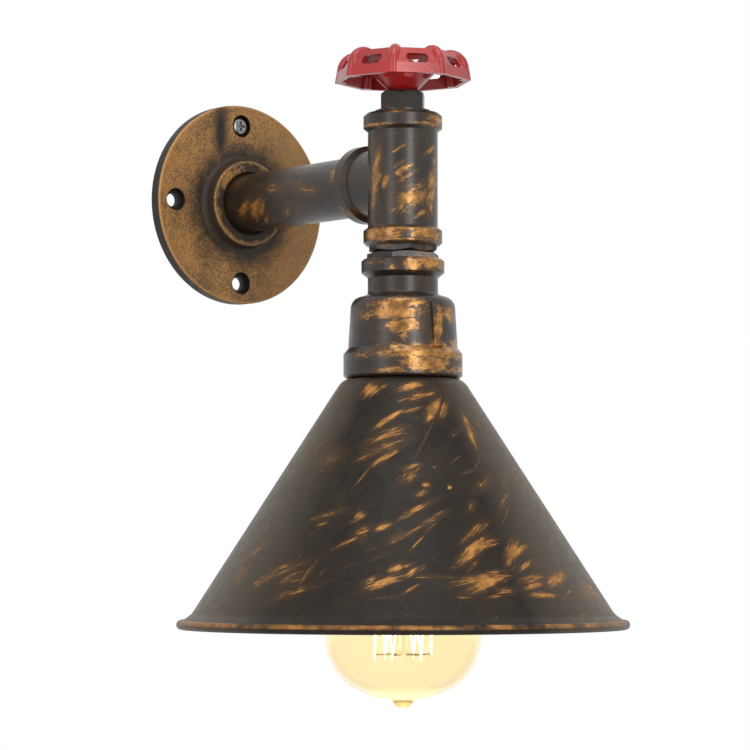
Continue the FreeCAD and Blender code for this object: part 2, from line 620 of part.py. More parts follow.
def tube_and_nuts():
    """The hollow threaded tube, a nut at each end of the two bushes, and the earth tag under the upper nut."""
    bore = s.tube_radius + s.thread_clearance
    tag_bottom = tee_bottom + s.bush_male_length
    upper_nut = tag_bottom + s.earth_tag_thickness
    tube_top = upper_nut + s.tube_nut_height + s.tube_stick_out
    tube_bottom = holder_top - s.tube_grip
    body = new_body("threaded_tube", lamp_y)
    revolve(body, "Tube", [
        (s.tube_bore_radius, tube_bottom), (s.tube_radius, tube_bottom),
        (s.tube_radius, tube_top), (s.tube_bore_radius, tube_top)])
    hexagon_nut("tube_nut_upper", s.tube_nut_flats, bore, upper_nut, s.tube_nut_height, lamp_y)
    hexagon_nut("tube_nut_lower", s.tube_nut_flats, bore, lower_nut_bottom, s.tube_nut_height, lamp_y)
    body = new_body("earth_tag", lamp_y, tag_bottom)
    sketch = new_sketch(body, "XY_Plane", "TagRing")
    circle(sketch, ZERO, ZERO, s.earth_tag_radius)
    pad(body, sketch, "TagDisc", s.earth_tag_thickness)
    sketch = new_sketch(body, "XY_Plane", "TagTabOutline")
    rectangle(sketch, -s.earth_tag_width / 2, s.earth_tag_width / 2, ZERO, s.earth_tag_reach)
    pad(body, sketch, "TagTab", s.earth_tag_thickness)
    bore_through(body, "TagHole", bore)


# ---------------------------------------------------------------- lamp cup

def lamp_cup():
    """Bell reducing coupling: banded collar, plain neck, rounded shoulder, slightly conical body and a heavy rim,
    with a casting rib front and back."""
    body = new_body("lamp_cup", lamp_y)
    collar_edge = s.cup_collar_radius - s.cup_edge_chamfer
    shoulder_top = cup_neck_bottom
    body_low_radius = s.cup_shoulder_radius + s.cup_body_flare
    inner_shoulder = cup_neck_bottom - s.cup_wall
    rim_top = cup_body_bottom - s.cup_rim_chamfer_drop
    revolve(body, "CupCasting", [
        (thread_bore, cup_top), (collar_edge, cup_top), (s.cup_collar_radius, cup_top - s.cup_edge_chamfer),
        (s.cup_collar_radius, cup_collar_bottom), (s.cup_neck_radius, cup_collar_bottom - s.cup_collar_taper),
        (s.cup_neck_radius, shoulder_top, s.cup_neck_fillet),
        (s.cup_shoulder_radius, shoulder_top - s.cup_shoulder_drop, s.cup_shoulder_round),
        (body_low_radius, cup_body_bottom), (s.cup_rim_radius, rim_top),
        (s.cup_rim_radius, cup_bottom + s.cup_edge_chamfer), (s.cup_rim_radius - s.cup_edge_chamfer, cup_bottom),
        (s.cup_mouth_radius, cup_bottom), (s.cup_mouth_radius, cup_body_bottom),
        (s.cup_shoulder_radius - s.cup_wall, inner_shoulder - s.cup_inner_drop, s.cup_shoulder_round - s.cup_wall),
        (thread_bore, inner_shoulder)])
    rib_plane = new_sketch(body, "YZ_Plane", "CastingRibProfile")
    inside = s.cup_shoulder_radius - s.cup_rib_root
    rib_top = shoulder_top - s.cup_rib_start
    outline(rib_plane, [
        (-inside, rib_top), (-s.cup_shoulder_radius - s.cup_rib_proud * 0.4, rib_top),
        (-s.cup_shoulder_radius - s.cup_rib_proud, rib_top - s.cup_rib_rise),
        (-body_low_radius - s.cup_rib_proud, cup_body_bottom), (-inside, cup_body_bottom - s.cup_rib_root)])
    rib = pad(body, rib_plane, "CastingRib", s.cup_rib_width, both_ways=True)
    ring_of(body, [rib], 2)


# ---------------------------------------------------------------- lampholder

def holder_parts():
    """Lampholder: domed cap on the threaded tube, ceramic insert, outer skirt, screw shell and contact."""
    skirt_bore = s.holder_radius - s.skirt_wall
    dome_bore = s.holder_radius - s.holder_wall
    body = new_body("holder_dome", lamp_y)
    tube_bore = s.tube_radius + s.thread_clearance
    revolve(body, "Dome", [
        (tube_bore, holder_top), (s.holder_hub_radius, holder_top), (s.holder_hub_radius, dome_top),
        (s.holder_radius, dome_top, s.holder_dome_round), (s.holder_radius, insert_top), (dome_bore, insert_top),
        (dome_bore, dome_top - s.holder_wall, s.holder_dome_round - s.holder_wall), (tube_bore, dome_top - s.holder_wall)])
    body = new_body("holder_insert", lamp_y)
    pin_hole = s.contact_pin_radius + s.thread_clearance
    outer = skirt_bore - s.insert_clearance
    revolve(body, "Insert", [(pin_hole, insert_bottom), (outer, insert_bottom), (outer, insert_top), (pin_hole, insert_top)])
    body = new_body("holder_skirt", lamp_y)
    skirt_bottom_z = insert_top - s.skirt_height
    revolve(body, "Skirt", [
        (skirt_bore, insert_top), (s.holder_radius, insert_top), (s.holder_radius, skirt_bottom_z),
        (s.skirt_ledge_radius, skirt_bottom_z), (s.skirt_ledge_radius, insert_bottom), (skirt_bore, insert_bottom)])
    body = new_body("socket_shell", lamp_y)
    shell_outer = s.socket_radius + s.socket_wall
    flange_hole = s.contact_pad_radius + s.socket_flange_gap
    revolve(body, "Shell", [
        (flange_hole, insert_bottom), (shell_outer, insert_bottom), (shell_outer, socket_bottom),
        (s.socket_radius, socket_bottom), (s.socket_radius, insert_bottom - s.socket_wall),
        (flange_hole, insert_bottom - s.socket_wall)])
    body = new_body("centre_contact", lamp_y)
    pad_bottom = insert_bottom - s.contact_pad_height
    revolve(body, "Contact", [
        (ZERO, pad_bottom), (s.contact_pad_radius, pad_bottom), (s.contact_pad_radius, insert_bottom),
        (s.contact_pin_radius, insert_bottom), (s.contact_pin_radius, insert_top), (ZERO, insert_top)])
    body = new_body("terminal_screws", lamp_y, insert_top)
    sketch = new_sketch(body, "XY_Plane", "TerminalCircle")
    circle(sketch, s.terminal_spread, ZERO, s.terminal_head_radius)
    head = pad(body, sketch, "TerminalHead", s.terminal_head_height)
    ring_of(body, [head], 2)


def wires():
    """Live and neutral from the wall through arm, tee and tube to the terminals; earth to its tag."""
    back = -s.wire_end_inset.value
    axis_y = lamp_y.value
    high = s.wire_height.value
    bend = s.wire_bend.value
    terminal_top = (insert_top + s.terminal_head_height).value
    fan_start = (holder_top - s.tube_grip - s.wire_fan_drop).value
    fan_end = terminal_top + s.wire_terminal_drop.value
    fan_bend = s.wire_fan_bend.value
    for label, side in (("live_wire", -1.0), ("neutral_wire", 1.0)):
        inner = side * s.wire_spread.value
        outer = side * s.terminal_spread.value
        points = [(inner, back, high), (inner, axis_y, high), (inner, axis_y, fan_start),
                  (outer, axis_y, fan_end), (outer, axis_y, terminal_top)]
        swept_wire(label, points, [bend, fan_bend, fan_bend])
    tab = tee_bottom + s.bush_male_length + s.earth_tag_thickness
    reach = (s.earth_tag_reach - s.wire_radius).value
    points = [(0.0, back, 0.0), (0.0, axis_y + reach, 0.0), (0.0, axis_y + reach, tab.value)]
    swept_wire("earth_wire", points, [bend])


def swept_wire(label, points, bends):
    """A wire's tube, each bend with its own radius, checked against section times length."""
    radius = s.wire_radius.value
    points = [FreeCAD.Vector(*point) for point in points]
    edges = []
    start = points[0]
    for before, here, after, bend in zip(points, points[1:], points[2:], bends):
        back = (before - here).normalize()
        ahead = (after - here).normalize()
        half = back.getAngle(ahead) / 2
        reach = bend / math.tan(half)
        centre = here + (back + ahead).normalize() * (bend / math.sin(half))
        first, last = here + back * reach, here + ahead * reach
        edges.append(Part.LineSegment(start, first).toShape())
        edges.append(Part.Arc(first, centre + (here - centre).normalize() * bend, last).toShape())
        start = last
    edges.append(Part.LineSegment(start, points[-1]).toShape())
    path = Part.Wire(edges)
    section = Part.Wire(Part.Circle(points[0], points[1] - points[0], radius).toShape())
    tube = path.makePipeShell([section], True, False)
    expected = math.pi * radius ** 2 * path.Length
    if abs(tube.Volume - expected) > 0.01 * expected:
        raise ValueError(f"{label}: volume {tube.Volume:.1f} where {expected:.1f} is due")
    solid_piece(label, tube)


# ---------------------------------------------------------------- shade

def shade():
    """Spun steel cone: flat top with a round shoulder, straight cone, flared lip and a rolled bead."""
    body = new_body("shade", lamp_y, cup_bottom)
    hole = s.holder_radius + s.shade_hole_clearance
    wall = s.shade_thickness
    cone_bottom = -s.shade_cone_height
    slope = (s.shade_cone_radius.value - s.shade_top_radius.value) / s.shade_cone_height.value
    lean = math.atan(slope)
    inset = wall / math.cos(lean)
    bead = s.shade_bead_radius
    bead_x = s.shade_cone_radius + s.shade_lip_reach - bead
    bead_z = cone_bottom - s.shade_lip_drop - wall / 2
    curl = bead * 0.95
    revolve(body, "Cone", [
        (hole, ZERO), (s.shade_top_radius, ZERO, s.shade_top_round), (s.shade_cone_radius, cone_bottom, s.shade_lip_round),
        (bead_x - bead * 0.5, bead_z + bead), (bead_x + bead, bead_z + bead, curl), (bead_x + bead, bead_z - bead, curl),
        (bead_x - bead, bead_z - bead, curl), (bead_x - bead, bead_z + bead * 0.6),
        (s.shade_cone_radius - inset * 0.72, cone_bottom - wall * 0.72, s.shade_lip_round + wall),
        (s.shade_top_radius - inset + wall * slope, -wall, s.shade_top_round - wall), (hole, -wall)])


def shade_ring():
    """Ring nut on the lampholder's skirt that clamps the shade against the cup."""
    body = new_body("shade_ring", lamp_y, shade_underside)
    bore = s.holder_radius + s.thread_clearance
    bottom = -s.shade_ring_height
    neck = s.shade_ring_radius - s.shade_ring_chamfer
    revolve(body, "RingNut", [
        (bore, ZERO), (neck, ZERO), (s.shade_ring_radius, -s.shade_ring_chamfer),
        (s.shade_ring_radius, bottom), (bore, bottom)])


# ---------------------------------------------------------------- bulb

def bulb_parts():
    """Screw-cap filament bulb with a clear glass envelope sealed at a small tip."""
    cap_radius = s.socket_radius - s.cap_clearance
    shell_top = -s.bulb_contact_height - s.bulb_insulator_height
    shell_bottom = shell_top - s.cap_height
    end = -s.bulb_length
    floor = end + s.bulb_floor_height
    body = new_body("bulb_contact", lamp_y, bulb_top)
    revolve(body, "Contact", [
        (ZERO, -s.bulb_contact_height), (s.bulb_contact_radius, -s.bulb_contact_height), (s.bulb_contact_radius, ZERO),
        (ZERO, ZERO)])
    cap_top_radius = cap_radius - s.cap_shoulder
    body = new_body("bulb_insulator", lamp_y, bulb_top)
    revolve(body, "Insulator", [
        (ZERO, shell_top), (cap_top_radius, shell_top),
        (s.bulb_contact_radius + s.bulb_insulator_reach, -s.bulb_contact_height), (ZERO, -s.bulb_contact_height)])
    body = new_body("bulb_cap", lamp_y, bulb_top)
    inner = cap_radius - s.cap_wall
    revolve(body, "CapShell", [
        (ZERO, shell_top), (cap_top_radius, shell_top), (cap_radius, shell_top - s.cap_shoulder),
        (cap_radius, shell_bottom), (inner, shell_bottom), (inner, shell_top - s.cap_shoulder - s.cap_wall / 2),
        (cap_top_radius - s.cap_wall, shell_top - s.cap_wall), (ZERO, shell_top - s.cap_wall)])
    body = new_body("bulb_glass", lamp_y, bulb_top)
    neck = inner - s.glass_seat_clearance
    seal = shell_bottom + s.cap_seal
    wall = s.glass_wall
    collar_top = shell_bottom - s.glass_collar_start
    collar_bottom = shell_bottom - s.glass_collar_end
    neck_end = shell_bottom - s.bulb_neck_length
    belly_top = neck_end - s.bulb_shoulder_drop
    side_end = end + s.bulb_side_corner
    outside = [
        (neck, seal), (neck, collar_top), (s.bulb_neck_radius, collar_bottom),
        (s.bulb_neck_radius, neck_end, s.bulb_neck_round), (s.bulb_radius, belly_top, s.bulb_shoulder_round),
        (s.bulb_radius, side_end, s.bulb_side_round), (s.bulb_floor_radius, floor, s.bulb_floor_round),
        (s.bulb_tip_radius, floor - s.bulb_tip_root), (s.bulb_tip_radius * 0.45, end, s.bulb_tip_round), (ZERO, end)]
    inside = [
        (ZERO, end + s.bulb_tip_height + wall), (s.bulb_floor_radius - wall / 2, floor + wall, s.bulb_floor_round - wall),
        (s.bulb_radius - wall, side_end + wall / 2, s.bulb_side_round - wall),
        (s.bulb_radius - wall, belly_top, s.bulb_shoulder_round - wall),
        (s.bulb_neck_radius - wall, neck_end, s.bulb_neck_round + wall),
        (s.bulb_neck_radius - wall, collar_bottom), (neck - wall, collar_top), (neck - wall, seal)]
    revolve(body, "Envelope", outside + inside)
    bulb_mount(shell_bottom, neck - wall, seal)


def bulb_mount(shell_bottom, neck_bore, seal):
    """Glass mount inside the bulb, its supports, and the filament strung between two rings of hooks."""
    end = -s.bulb_length
    rod_end = end + s.filament_bottom
    flare_bottom = shell_bottom - s.mount_flare_height
    button_top = rod_end + s.mount_button_height
    body = new_body("bulb_stem", lamp_y, bulb_top)
    flare = neck_bore - s.glass_seat_clearance
    revolve(body, "Mount", [
        (ZERO, seal), (flare, seal), (flare, seal - s.mount_flare_wall), (s.mount_tube_radius, seal - s.mount_flare_drop),
        (s.mount_pinch_radius, flare_bottom), (s.mount_rod_radius, flare_bottom - s.mount_pinch_drop),
        (s.mount_rod_radius, button_top + s.mount_button_taper), (s.mount_button_radius, button_top),
        (s.mount_button_radius, rod_end), (ZERO, rod_end)])
    base = FreeCAD.Vector(0, lamp_y.value, bulb_top.value)
    rings = ((end + s.filament_top, s.mount_rod_radius, 0.0), (rod_end + s.mount_button_height / 2, s.mount_button_radius, 0.5))
    hooks, supports = [], []
    for i in range(FILAMENT_RUNS):
        for level, seat, twist in rings:
            angle = 2 * math.pi * (i + twist) / FILAMENT_RUNS
            outward = FreeCAD.Vector(math.cos(angle), math.sin(angle), 0)
            middle = base + FreeCAD.Vector(0, 0, level.value)
            hooks.append(middle + outward * s.filament_ring_radius.value)
            length = s.filament_ring_radius - seat - s.filament_radius
            supports.append(Part.makeCylinder(s.support_radius.value, length.value, middle + outward * seat.value, outward))
    solid_piece("filament_supports", Part.makeCompound(supports))
    path = Part.makePolygon(hooks)
    section = Part.Wire(Part.Circle(hooks[0], hooks[1] - hooks[0], s.filament_radius.value).toShape())
    solid_piece("filament", path.makePipeShell([section], True, True, 1))


# ---------------------------------------------------------------- build, check and write

def build():
    wall_flange()
    flange_screw()
    arm_pipe()
    tee()
    stem_bush()
    gland_packing()
    gland_nut()
    valve_stem()
    handwheel()
    wheel_fasteners()
    hexagon_bush("upper_hex_bush", s.upper_hex_flats, s.upper_hex_height, s.upper_hex_turn, hex_waist, True)
    hexagon_bush("lower_hex_bush", s.lower_hex_flats, s.lower_hex_height, s.lower_hex_turn, cup_top, False)
    tube_and_nuts()
    lamp_cup()
    holder_parts()
    wires()
    shade()
    shade_ring()
    bulb_parts()
    doc.recompute()


def check_and_write():
    failed = [item.Label for item in doc.Objects if {"Invalid", "Error"} & set(item.State)]
    pieces = [item for item in doc.Objects if item.TypeId in ("PartDesign::Body", "Part::Feature")]
    for piece in pieces:
        if piece.Shape.isNull() or not piece.Shape.isValid() or not piece.Shape.Solids:
            failed.append(piece.Label)
    if failed:
        raise RuntimeError("failed objects: " + ", ".join(failed))
    os.makedirs("parts", exist_ok=True)
    for piece in pieces:
        piece.Shape.exportStep(f"parts/{piece.Label}.step")
        print(f"{piece.Label}: {len(piece.Shape.Solids)} solid(s), {piece.Shape.Volume:.1f} mm3")


build()
check_and_write()
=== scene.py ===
import bpy
import json
from math import atan, atan2, cos, degrees, radians, sin, sqrt, tan
from mathutils import Matrix, Vector


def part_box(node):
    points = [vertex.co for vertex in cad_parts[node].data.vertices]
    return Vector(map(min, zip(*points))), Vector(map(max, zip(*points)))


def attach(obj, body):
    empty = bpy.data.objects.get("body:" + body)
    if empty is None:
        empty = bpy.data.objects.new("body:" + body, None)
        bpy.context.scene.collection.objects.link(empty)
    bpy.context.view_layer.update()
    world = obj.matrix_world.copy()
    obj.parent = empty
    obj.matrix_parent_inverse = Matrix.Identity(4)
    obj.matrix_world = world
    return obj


# Looks of an industrial pipe wall light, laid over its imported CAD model: rubbed bronze pipe fittings, a red
# enamelled handwheel, a spun cone shade and a clear amber filament bulb. Pieces and lights are placed in
# metres, and patterns and finishes in millimetres. +Z is up, and the wall is the plane y = 0.

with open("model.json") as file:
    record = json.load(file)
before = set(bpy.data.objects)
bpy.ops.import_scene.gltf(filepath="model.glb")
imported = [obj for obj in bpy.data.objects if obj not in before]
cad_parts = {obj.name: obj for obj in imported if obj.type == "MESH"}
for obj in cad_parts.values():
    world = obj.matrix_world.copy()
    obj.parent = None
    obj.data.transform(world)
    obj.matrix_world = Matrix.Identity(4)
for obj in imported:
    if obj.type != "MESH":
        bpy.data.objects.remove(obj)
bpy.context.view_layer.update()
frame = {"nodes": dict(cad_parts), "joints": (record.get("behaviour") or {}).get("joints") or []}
nodes = frame["nodes"]

# ---------------------------------------------------------------- studio
# A white room: the camera, gloss and glass see plain white, while what falls on the fitting is softer. The
# camera stands to the front left of the lamp, a little below the arm, and looks slightly up.

camera = bpy.data.objects.new("camera", bpy.data.cameras.new("camera"))
bpy.context.scene.collection.objects.link(camera)
camera.location = (-0.8267, -1.1690, -0.1606)
camera.rotation_euler = (radians(93.238), 0.0, radians(-37.917))
camera.data.lens = 146.7
camera.data.sensor_width = 36.0
bpy.context.scene.camera = camera
bpy.context.scene.view_settings.view_transform = "Standard"


def paint(red, green, blue):
    """A paint chip's 0 to 255 values as the linear colour that the shaders use."""
    linear = []
    for value in (red, green, blue):
        share = value / 255
        linear.append(((share + 0.055) / 1.055) ** 2.4 if value > 10 else share / 12.92)
    return (*linear, 1.0)


def put(tree, kind, inputs=None, **settings):
    """One shader node with its settings and its inputs, each a plain value or another node's output."""
    made = tree.nodes.new("ShaderNode" + kind)
    for name, value in settings.items():
        setattr(made, name, value)
    for key, value in (inputs or {}).items():
        if isinstance(value, bpy.types.NodeSocket):
            tree.links.new(value, made.inputs[key])
        else:
            made.inputs[key].default_value = value
    return made


def white_to_the_eye(tree, plain, output, from_behind=None, clear=None):
    """Mix a surface's own shader with plain white wherever the camera, gloss or glass looks at it. It can
    be clear from behind, so that the fitting also shows from below the floor."""
    path = put(tree, "LightPath")
    seen = path.outputs["Is Camera Ray"]
    for other in ("Is Glossy Ray", "Is Transmission Ray"):
        seen = put(tree, "Math", {0: seen, 1: path.outputs[other]}, operation="MAXIMUM").outputs[0]
    kind = "Background" if output.type == "OUTPUT_WORLD" else "Emission"
    white = put(tree, kind, {"Color": (1, 1, 1, 1), "Strength": 1.0})
    mix = put(tree, "MixShader", {0: seen, 1: plain.outputs[0], 2: white.outputs[0]})
    if clear:
        mix = put(tree, "MixShader", {0: from_behind, 1: mix.outputs[0], 2: clear.outputs[0]})
    tree.links.new(mix.outputs[0], output.inputs["Surface"])


room = bpy.data.worlds.new("room")
bpy.context.scene.world = room
room.use_nodes = True
room.node_tree.nodes.clear()
room_light = put(room.node_tree, "Background", {"Color": (1.0, 0.99, 0.97, 1), "Strength": 0.42})
white_to_the_eye(room.node_tree, room_light, put(room.node_tree, "OutputWorld"))

for name, place, aim, width, height, watts in (
        ("soft_box_right", (-0.254, -1.146, 0.12), (0.0, -0.12, -0.04), 0.17, 0.9, 5.0),
        ("soft_box_left", (-1.05, -0.35, 0.25), (0.0, -0.10, -0.05), 0.3, 0.8, 2.2),
        ("soft_box_top", (-0.25, -0.45, 0.95), (0.0, -0.10, 0.0), 0.6, 0.6, 3.6)):
    lamp = bpy.data.objects.new(name, bpy.data.lights.new(name, "AREA"))
    bpy.context.scene.collection.objects.link(lamp)
    lamp.data.shape = "RECTANGLE"
    lamp.data.size = width
    lamp.data.size_y = height
    lamp.data.energy = watts
    lamp.location = place
    toward = Vector(aim) - lamp.location
    lamp.rotation_euler = toward.to_track_quat("-Z", "Y").to_euler()

floor_level = -0.45
floor_half = 3.0
floor_mesh = bpy.data.meshes.new("floor")
floor_mesh.from_pydata([(-floor_half, -floor_half, floor_level), (floor_half, -floor_half, floor_level),
                        (floor_half, floor_half, floor_level), (-floor_half, floor_half, floor_level)],
                       [], [(0, 1, 2, 3)])
floor = bpy.data.objects.new("floor", floor_mesh)
bpy.context.scene.collection.objects.link(floor)
floor_paint = bpy.data.materials.new("floor_paint")
floor_paint.use_nodes = True
floor_paint.node_tree.nodes.clear()
floor_base = put(floor_paint.node_tree, "BsdfDiffuse", {"Color": (0.8, 0.8, 0.79, 1)})
clear = put(floor_paint.node_tree, "BsdfTransparent")
below = put(floor_paint.node_tree, "NewGeometry").outputs["Backfacing"]
floor_output = put(floor_paint.node_tree, "OutputMaterial")
white_to_the_eye(floor_paint.node_tree, floor_base, floor_output, from_behind=below, clear=clear)
floor_mesh.materials.append(floor_paint)

# ---------------------------------------------------------------- wall flange
# Cast iron floor flange, painted black-brown and rubbed over with gold, so the face is mostly gold and the
# dark paint stays round the hub, down the rim's edge and in the screw recesses. Screwed flat to the wall.


def shader_group(name, inputs, outputs):
    """An empty shader group with its sockets, its input node and its output node."""
    tree = bpy.data.node_groups.new(name, "ShaderNodeTree")
    for label, kind, value in inputs:
        socket = tree.interface.new_socket(label, in_out="INPUT", socket_type="NodeSocket" + kind)
        socket.default_value = value
    for label, kind in outputs:
        tree.interface.new_socket(label, in_out="OUTPUT", socket_type="NodeSocket" + kind)
    return tree, tree.nodes.new("NodeGroupInput").outputs, tree.nodes.new("NodeGroupOutput").inputs


def sums(tree, operation, first, second=0.0, third=0.0):
    """One step of arithmetic on values."""
    return put(tree, "Math", {0: first, 1: second, 2: third}, operation=operation).outputs[0]


def ramp(tree, value, low, high, at_low=0.0, at_high=1.0):
    """Straight change of a value between two limits, held outside them."""
    return put(tree, "MapRange", {0: value, 1: low, 2: high, 3: at_low, 4: at_high}).outputs[0]


def tint(tree, share, first, second):
    """Mix two colours by a share."""
    return put(tree, "Mix", {0: share, 6: first, 7: second}, data_type="RGBA").outputs[2]


def mottle(tree, grain, first, second, low=0.35, high=0.65):
    """Turn from one colour to another between two values of a grain."""
    return tint(tree, ramp(tree, grain, low, high), first, second)


def spread(tree, grain, low, high):
    """Lay a grain's usual values, 0.3 to 0.7, out over a range."""
    return ramp(tree, grain, 0.3, 0.7, low, high)


def use_group(tree, group, **inputs):
    """Place a shader group with its inputs, and return its outputs."""
    made = tree.nodes.new("ShaderNodeGroup")
    made.node_tree = group
    for label, value in inputs.items():
        if isinstance(value, bpy.types.NodeSocket):
            tree.links.new(value, made.inputs[label])
        else:
            made.inputs[label].default_value = value
    return made.outputs


# speckle: grain of three sizes in a casting's paint, in millimetres, which Size makes larger or smaller
speckle, given, result = shader_group("speckle", [("Place", "Vector", (0, 0, 0)), ("Size", "Float", 1.0)],
                                      [("Fine", "Float"), ("Middle", "Float"), ("Coarse", "Float")])
for label, size, detail in (("Fine", 0.9, 4.0), ("Middle", 4.5, 4.0), ("Coarse", 17.0, 3.0)):
    frequency = sums(speckle, "DIVIDE", 1.0 / size, given["Size"])
    noise = put(speckle, "TexNoise", {"Vector": given["Place"], "Scale": frequency, "Detail": detail,
                                      "Roughness": 0.62})
    speckle.links.new(noise.outputs["Fac"], result[label])

# brush_patch: one touch of the brush. Stroke carries a point of the unrolled surface in X and Y and, in Z,
# how strongly the touches before this one reach it. Scale is one over the touch's half sizes, and Shift its
# centre to match. A touch is strongest up to FULL_REACH times its half sizes and gone past NO_REACH times.
FULL_REACH, NO_REACH = 0.3, 1.6
FAR_OFF = -1e4
brush_patch, given, result = shader_group(
    "brush_patch", [("Stroke", "Vector", (0, 0, 0)), ("Scale", "Vector", (1, 1, 0)),
                    ("Shift", "Vector", (0, 0, 0)), ("Strength", "Float", 1.0)], [("Stroke", "Vector")])
offset = put(brush_patch, "VectorMath", {0: given["Stroke"], 1: given["Scale"], 2: given["Shift"]},
             operation="MULTIPLY_ADD").outputs[0]
distance = put(brush_patch, "VectorMath", {0: offset}, operation="LENGTH").outputs["Value"]
reach = ramp(brush_patch, distance, NO_REACH, FULL_REACH, 0.0, given["Strength"])
reach = put(brush_patch, "CombineXYZ", {0: FAR_OFF, 1: FAR_OFF, 2: reach}).outputs[0]
stronger = put(brush_patch, "VectorMath", {0: given["Stroke"], 1: reach}, operation="MAXIMUM").outputs[0]
brush_patch.links.new(stronger, result["Stroke"])

# bristles: dry brush hairs along X, thick where the touches reach strongly and broken up where they are
# weak. Hair is one over a hair's length and width, and the hairs lie in clumps a few times as large.
FINE_SHARE, CLUMP_SHARE = 0.62, 0.38
CLUMP_SCALE = (0.4, 0.2, 0.0)
HAIR_START, HAIR_FULL = 0.70, 0.80
bristles, given, result = shader_group(
    "bristles", [("Stroke", "Vector", (0, 0, 0)), ("Hair", "Vector", (0.14, 1.7, 0.0)),
                 ("Cover", "Float", 0.36)], [("Mask", "Float"), ("Reach", "Float")])
fine = put(bristles, "VectorMath", {0: given["Stroke"], 1: given["Hair"]}, operation="MULTIPLY").outputs[0]
fine = put(bristles, "TexNoise", {"Vector": fine, "Scale": 1.0, "Detail": 3.0, "Roughness": 0.6},
           noise_dimensions="2D").outputs["Fac"]
clump = put(bristles, "VectorMath", {0: given["Hair"], 1: CLUMP_SCALE}, operation="MULTIPLY").outputs[0]
clump = put(bristles, "VectorMath", {0: given["Stroke"], 1: clump}, operation="MULTIPLY").outputs[0]
clump = put(bristles, "TexNoise", {"Vector": clump, "Scale": 1.0, "Detail": 2.0, "Roughness": 0.5},
            noise_dimensions="2D").outputs["Fac"]
hair = sums(bristles, "MULTIPLY_ADD", fine, FINE_SHARE, sums(bristles, "MULTIPLY", clump, CLUMP_SHARE))
reach = put(bristles, "SeparateXYZ", {0: given["Stroke"]}).outputs["Z"]
hair = sums(bristles, "MULTIPLY_ADD", reach, given["Cover"], hair)
bristles.links.new(ramp(bristles, hair, HAIR_START, HAIR_FULL), result["Mask"])
bristles.links.new(reach, result["Reach"])


def turned(tree, place, angle):
    """A place turned about Z."""
    return put(tree, "VectorRotate", {"Vector": place, "Angle": angle}, rotation_type="Z_AXIS").outputs[0]


def brushed(tree, surface, marks, hair=(7.0, 0.6), cover=0.36):
    """Gold left by the brush on an unrolled surface in millimetres: marks gives, for each tilt in degrees,
    touches as (across, up, half length, half width, strength), hair is the length and width of a hair's
    trace, and cover how much gold a touch leaves. Returns mask and haze."""
    mask = haze = 0.0
    for tilt, touches in marks.items():
        turn = radians(-tilt)
        stroke = turned(tree, surface, turn)
        for across, up, half_length, half_width, strength in touches:
            scale = (1 / half_length, 1 / half_width, 0.0)
            shift = ((up * sin(turn) - across * cos(turn)) * scale[0],
                     (-across * sin(turn) - up * cos(turn)) * scale[1], 0.0)
            touched = use_group(tree, brush_patch, Stroke=stroke, Scale=scale, Shift=shift, Strength=strength)
            stroke = touched["Stroke"]
        family = use_group(tree, bristles, Stroke=stroke, Hair=(1 / hair[0], 1 / hair[1], 0.0), Cover=cover)
        mask = sums(tree, "MAXIMUM", family["Mask"], mask)
        haze = sums(tree, "MAXIMUM", family["Reach"], haze)
    return mask, haze


finishes = {}


def new_paint(name):
    """A material with only its output and a principled shader."""
    finishes[name] = bpy.data.materials.new(name + "_finish")
    finishes[name].use_nodes = True
    tree = finishes[name].node_tree
    return tree, tree.nodes["Principled BSDF"]


BUMP_STRENGTH = 0.6


def join(tree, shader, bump_height=None, bump=0.0002, **links):
    """Wire outputs into the principled shader's sockets, and a height into its normal."""
    for label, socket in links.items():
        tree.links.new(socket, shader.inputs[label.replace("_", " ")])
    if bump_height is not None:
        relief = put(tree, "Bump", {"Height": bump_height, "Distance": bump, "Strength": BUMP_STRENGTH})
        tree.links.new(relief.outputs[0], shader.inputs["Normal"])


def wear(name, *labels):
    """Put a finished material on CAD nodes."""
    for label in labels:
        mesh = nodes[label].data
        mesh.materials.clear()
        mesh.materials.append(finishes[name])


def face_place(tree):
    """Object position in millimetres."""
    place = put(tree, "TexCoord").outputs["Object"]
    return put(tree, "VectorMath", {0: place, 3: 1000.0}, operation="SCALE").outputs[0]


flange_low, flange_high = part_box("wall_flange")
FLANGE_RADIUS = 1000 * flange_high.x
HUB_FACE = 1000 * flange_low.y
PLATE_FACE = -6.0
HALO_START, HALO_END = 24.0, 33.0
HUB_MOUTH, HUB_MOUTH_WORN = 14.6, 15.8
# Dark smears of painted shade across the flange's face, laid like brush touches.
PAINTED_SHADE_SMEARS = {
    90: [(-12.0, 33.0, 17.0, 4.2, 1.3), (-25.0, 2.0, 14.0, 6.0, 0.6), (-18.0, -20.0, 9.0, 7.0, 0.6)]}
HUB_RUB = {45: [(-10.4, 11.4, 9.0, 3.6, 1.0)]}

tree, shader = new_paint("rubbed_flange")
place = face_place(tree)
grain = use_group(tree, speckle, Place=place)
apart = put(tree, "SeparateXYZ", {0: place}).outputs
flat = put(tree, "CombineXYZ", {0: apart["X"], 1: apart["Z"]}).outputs[0]
radius = put(tree, "VectorMath", {0: flat}, operation="LENGTH").outputs["Value"]
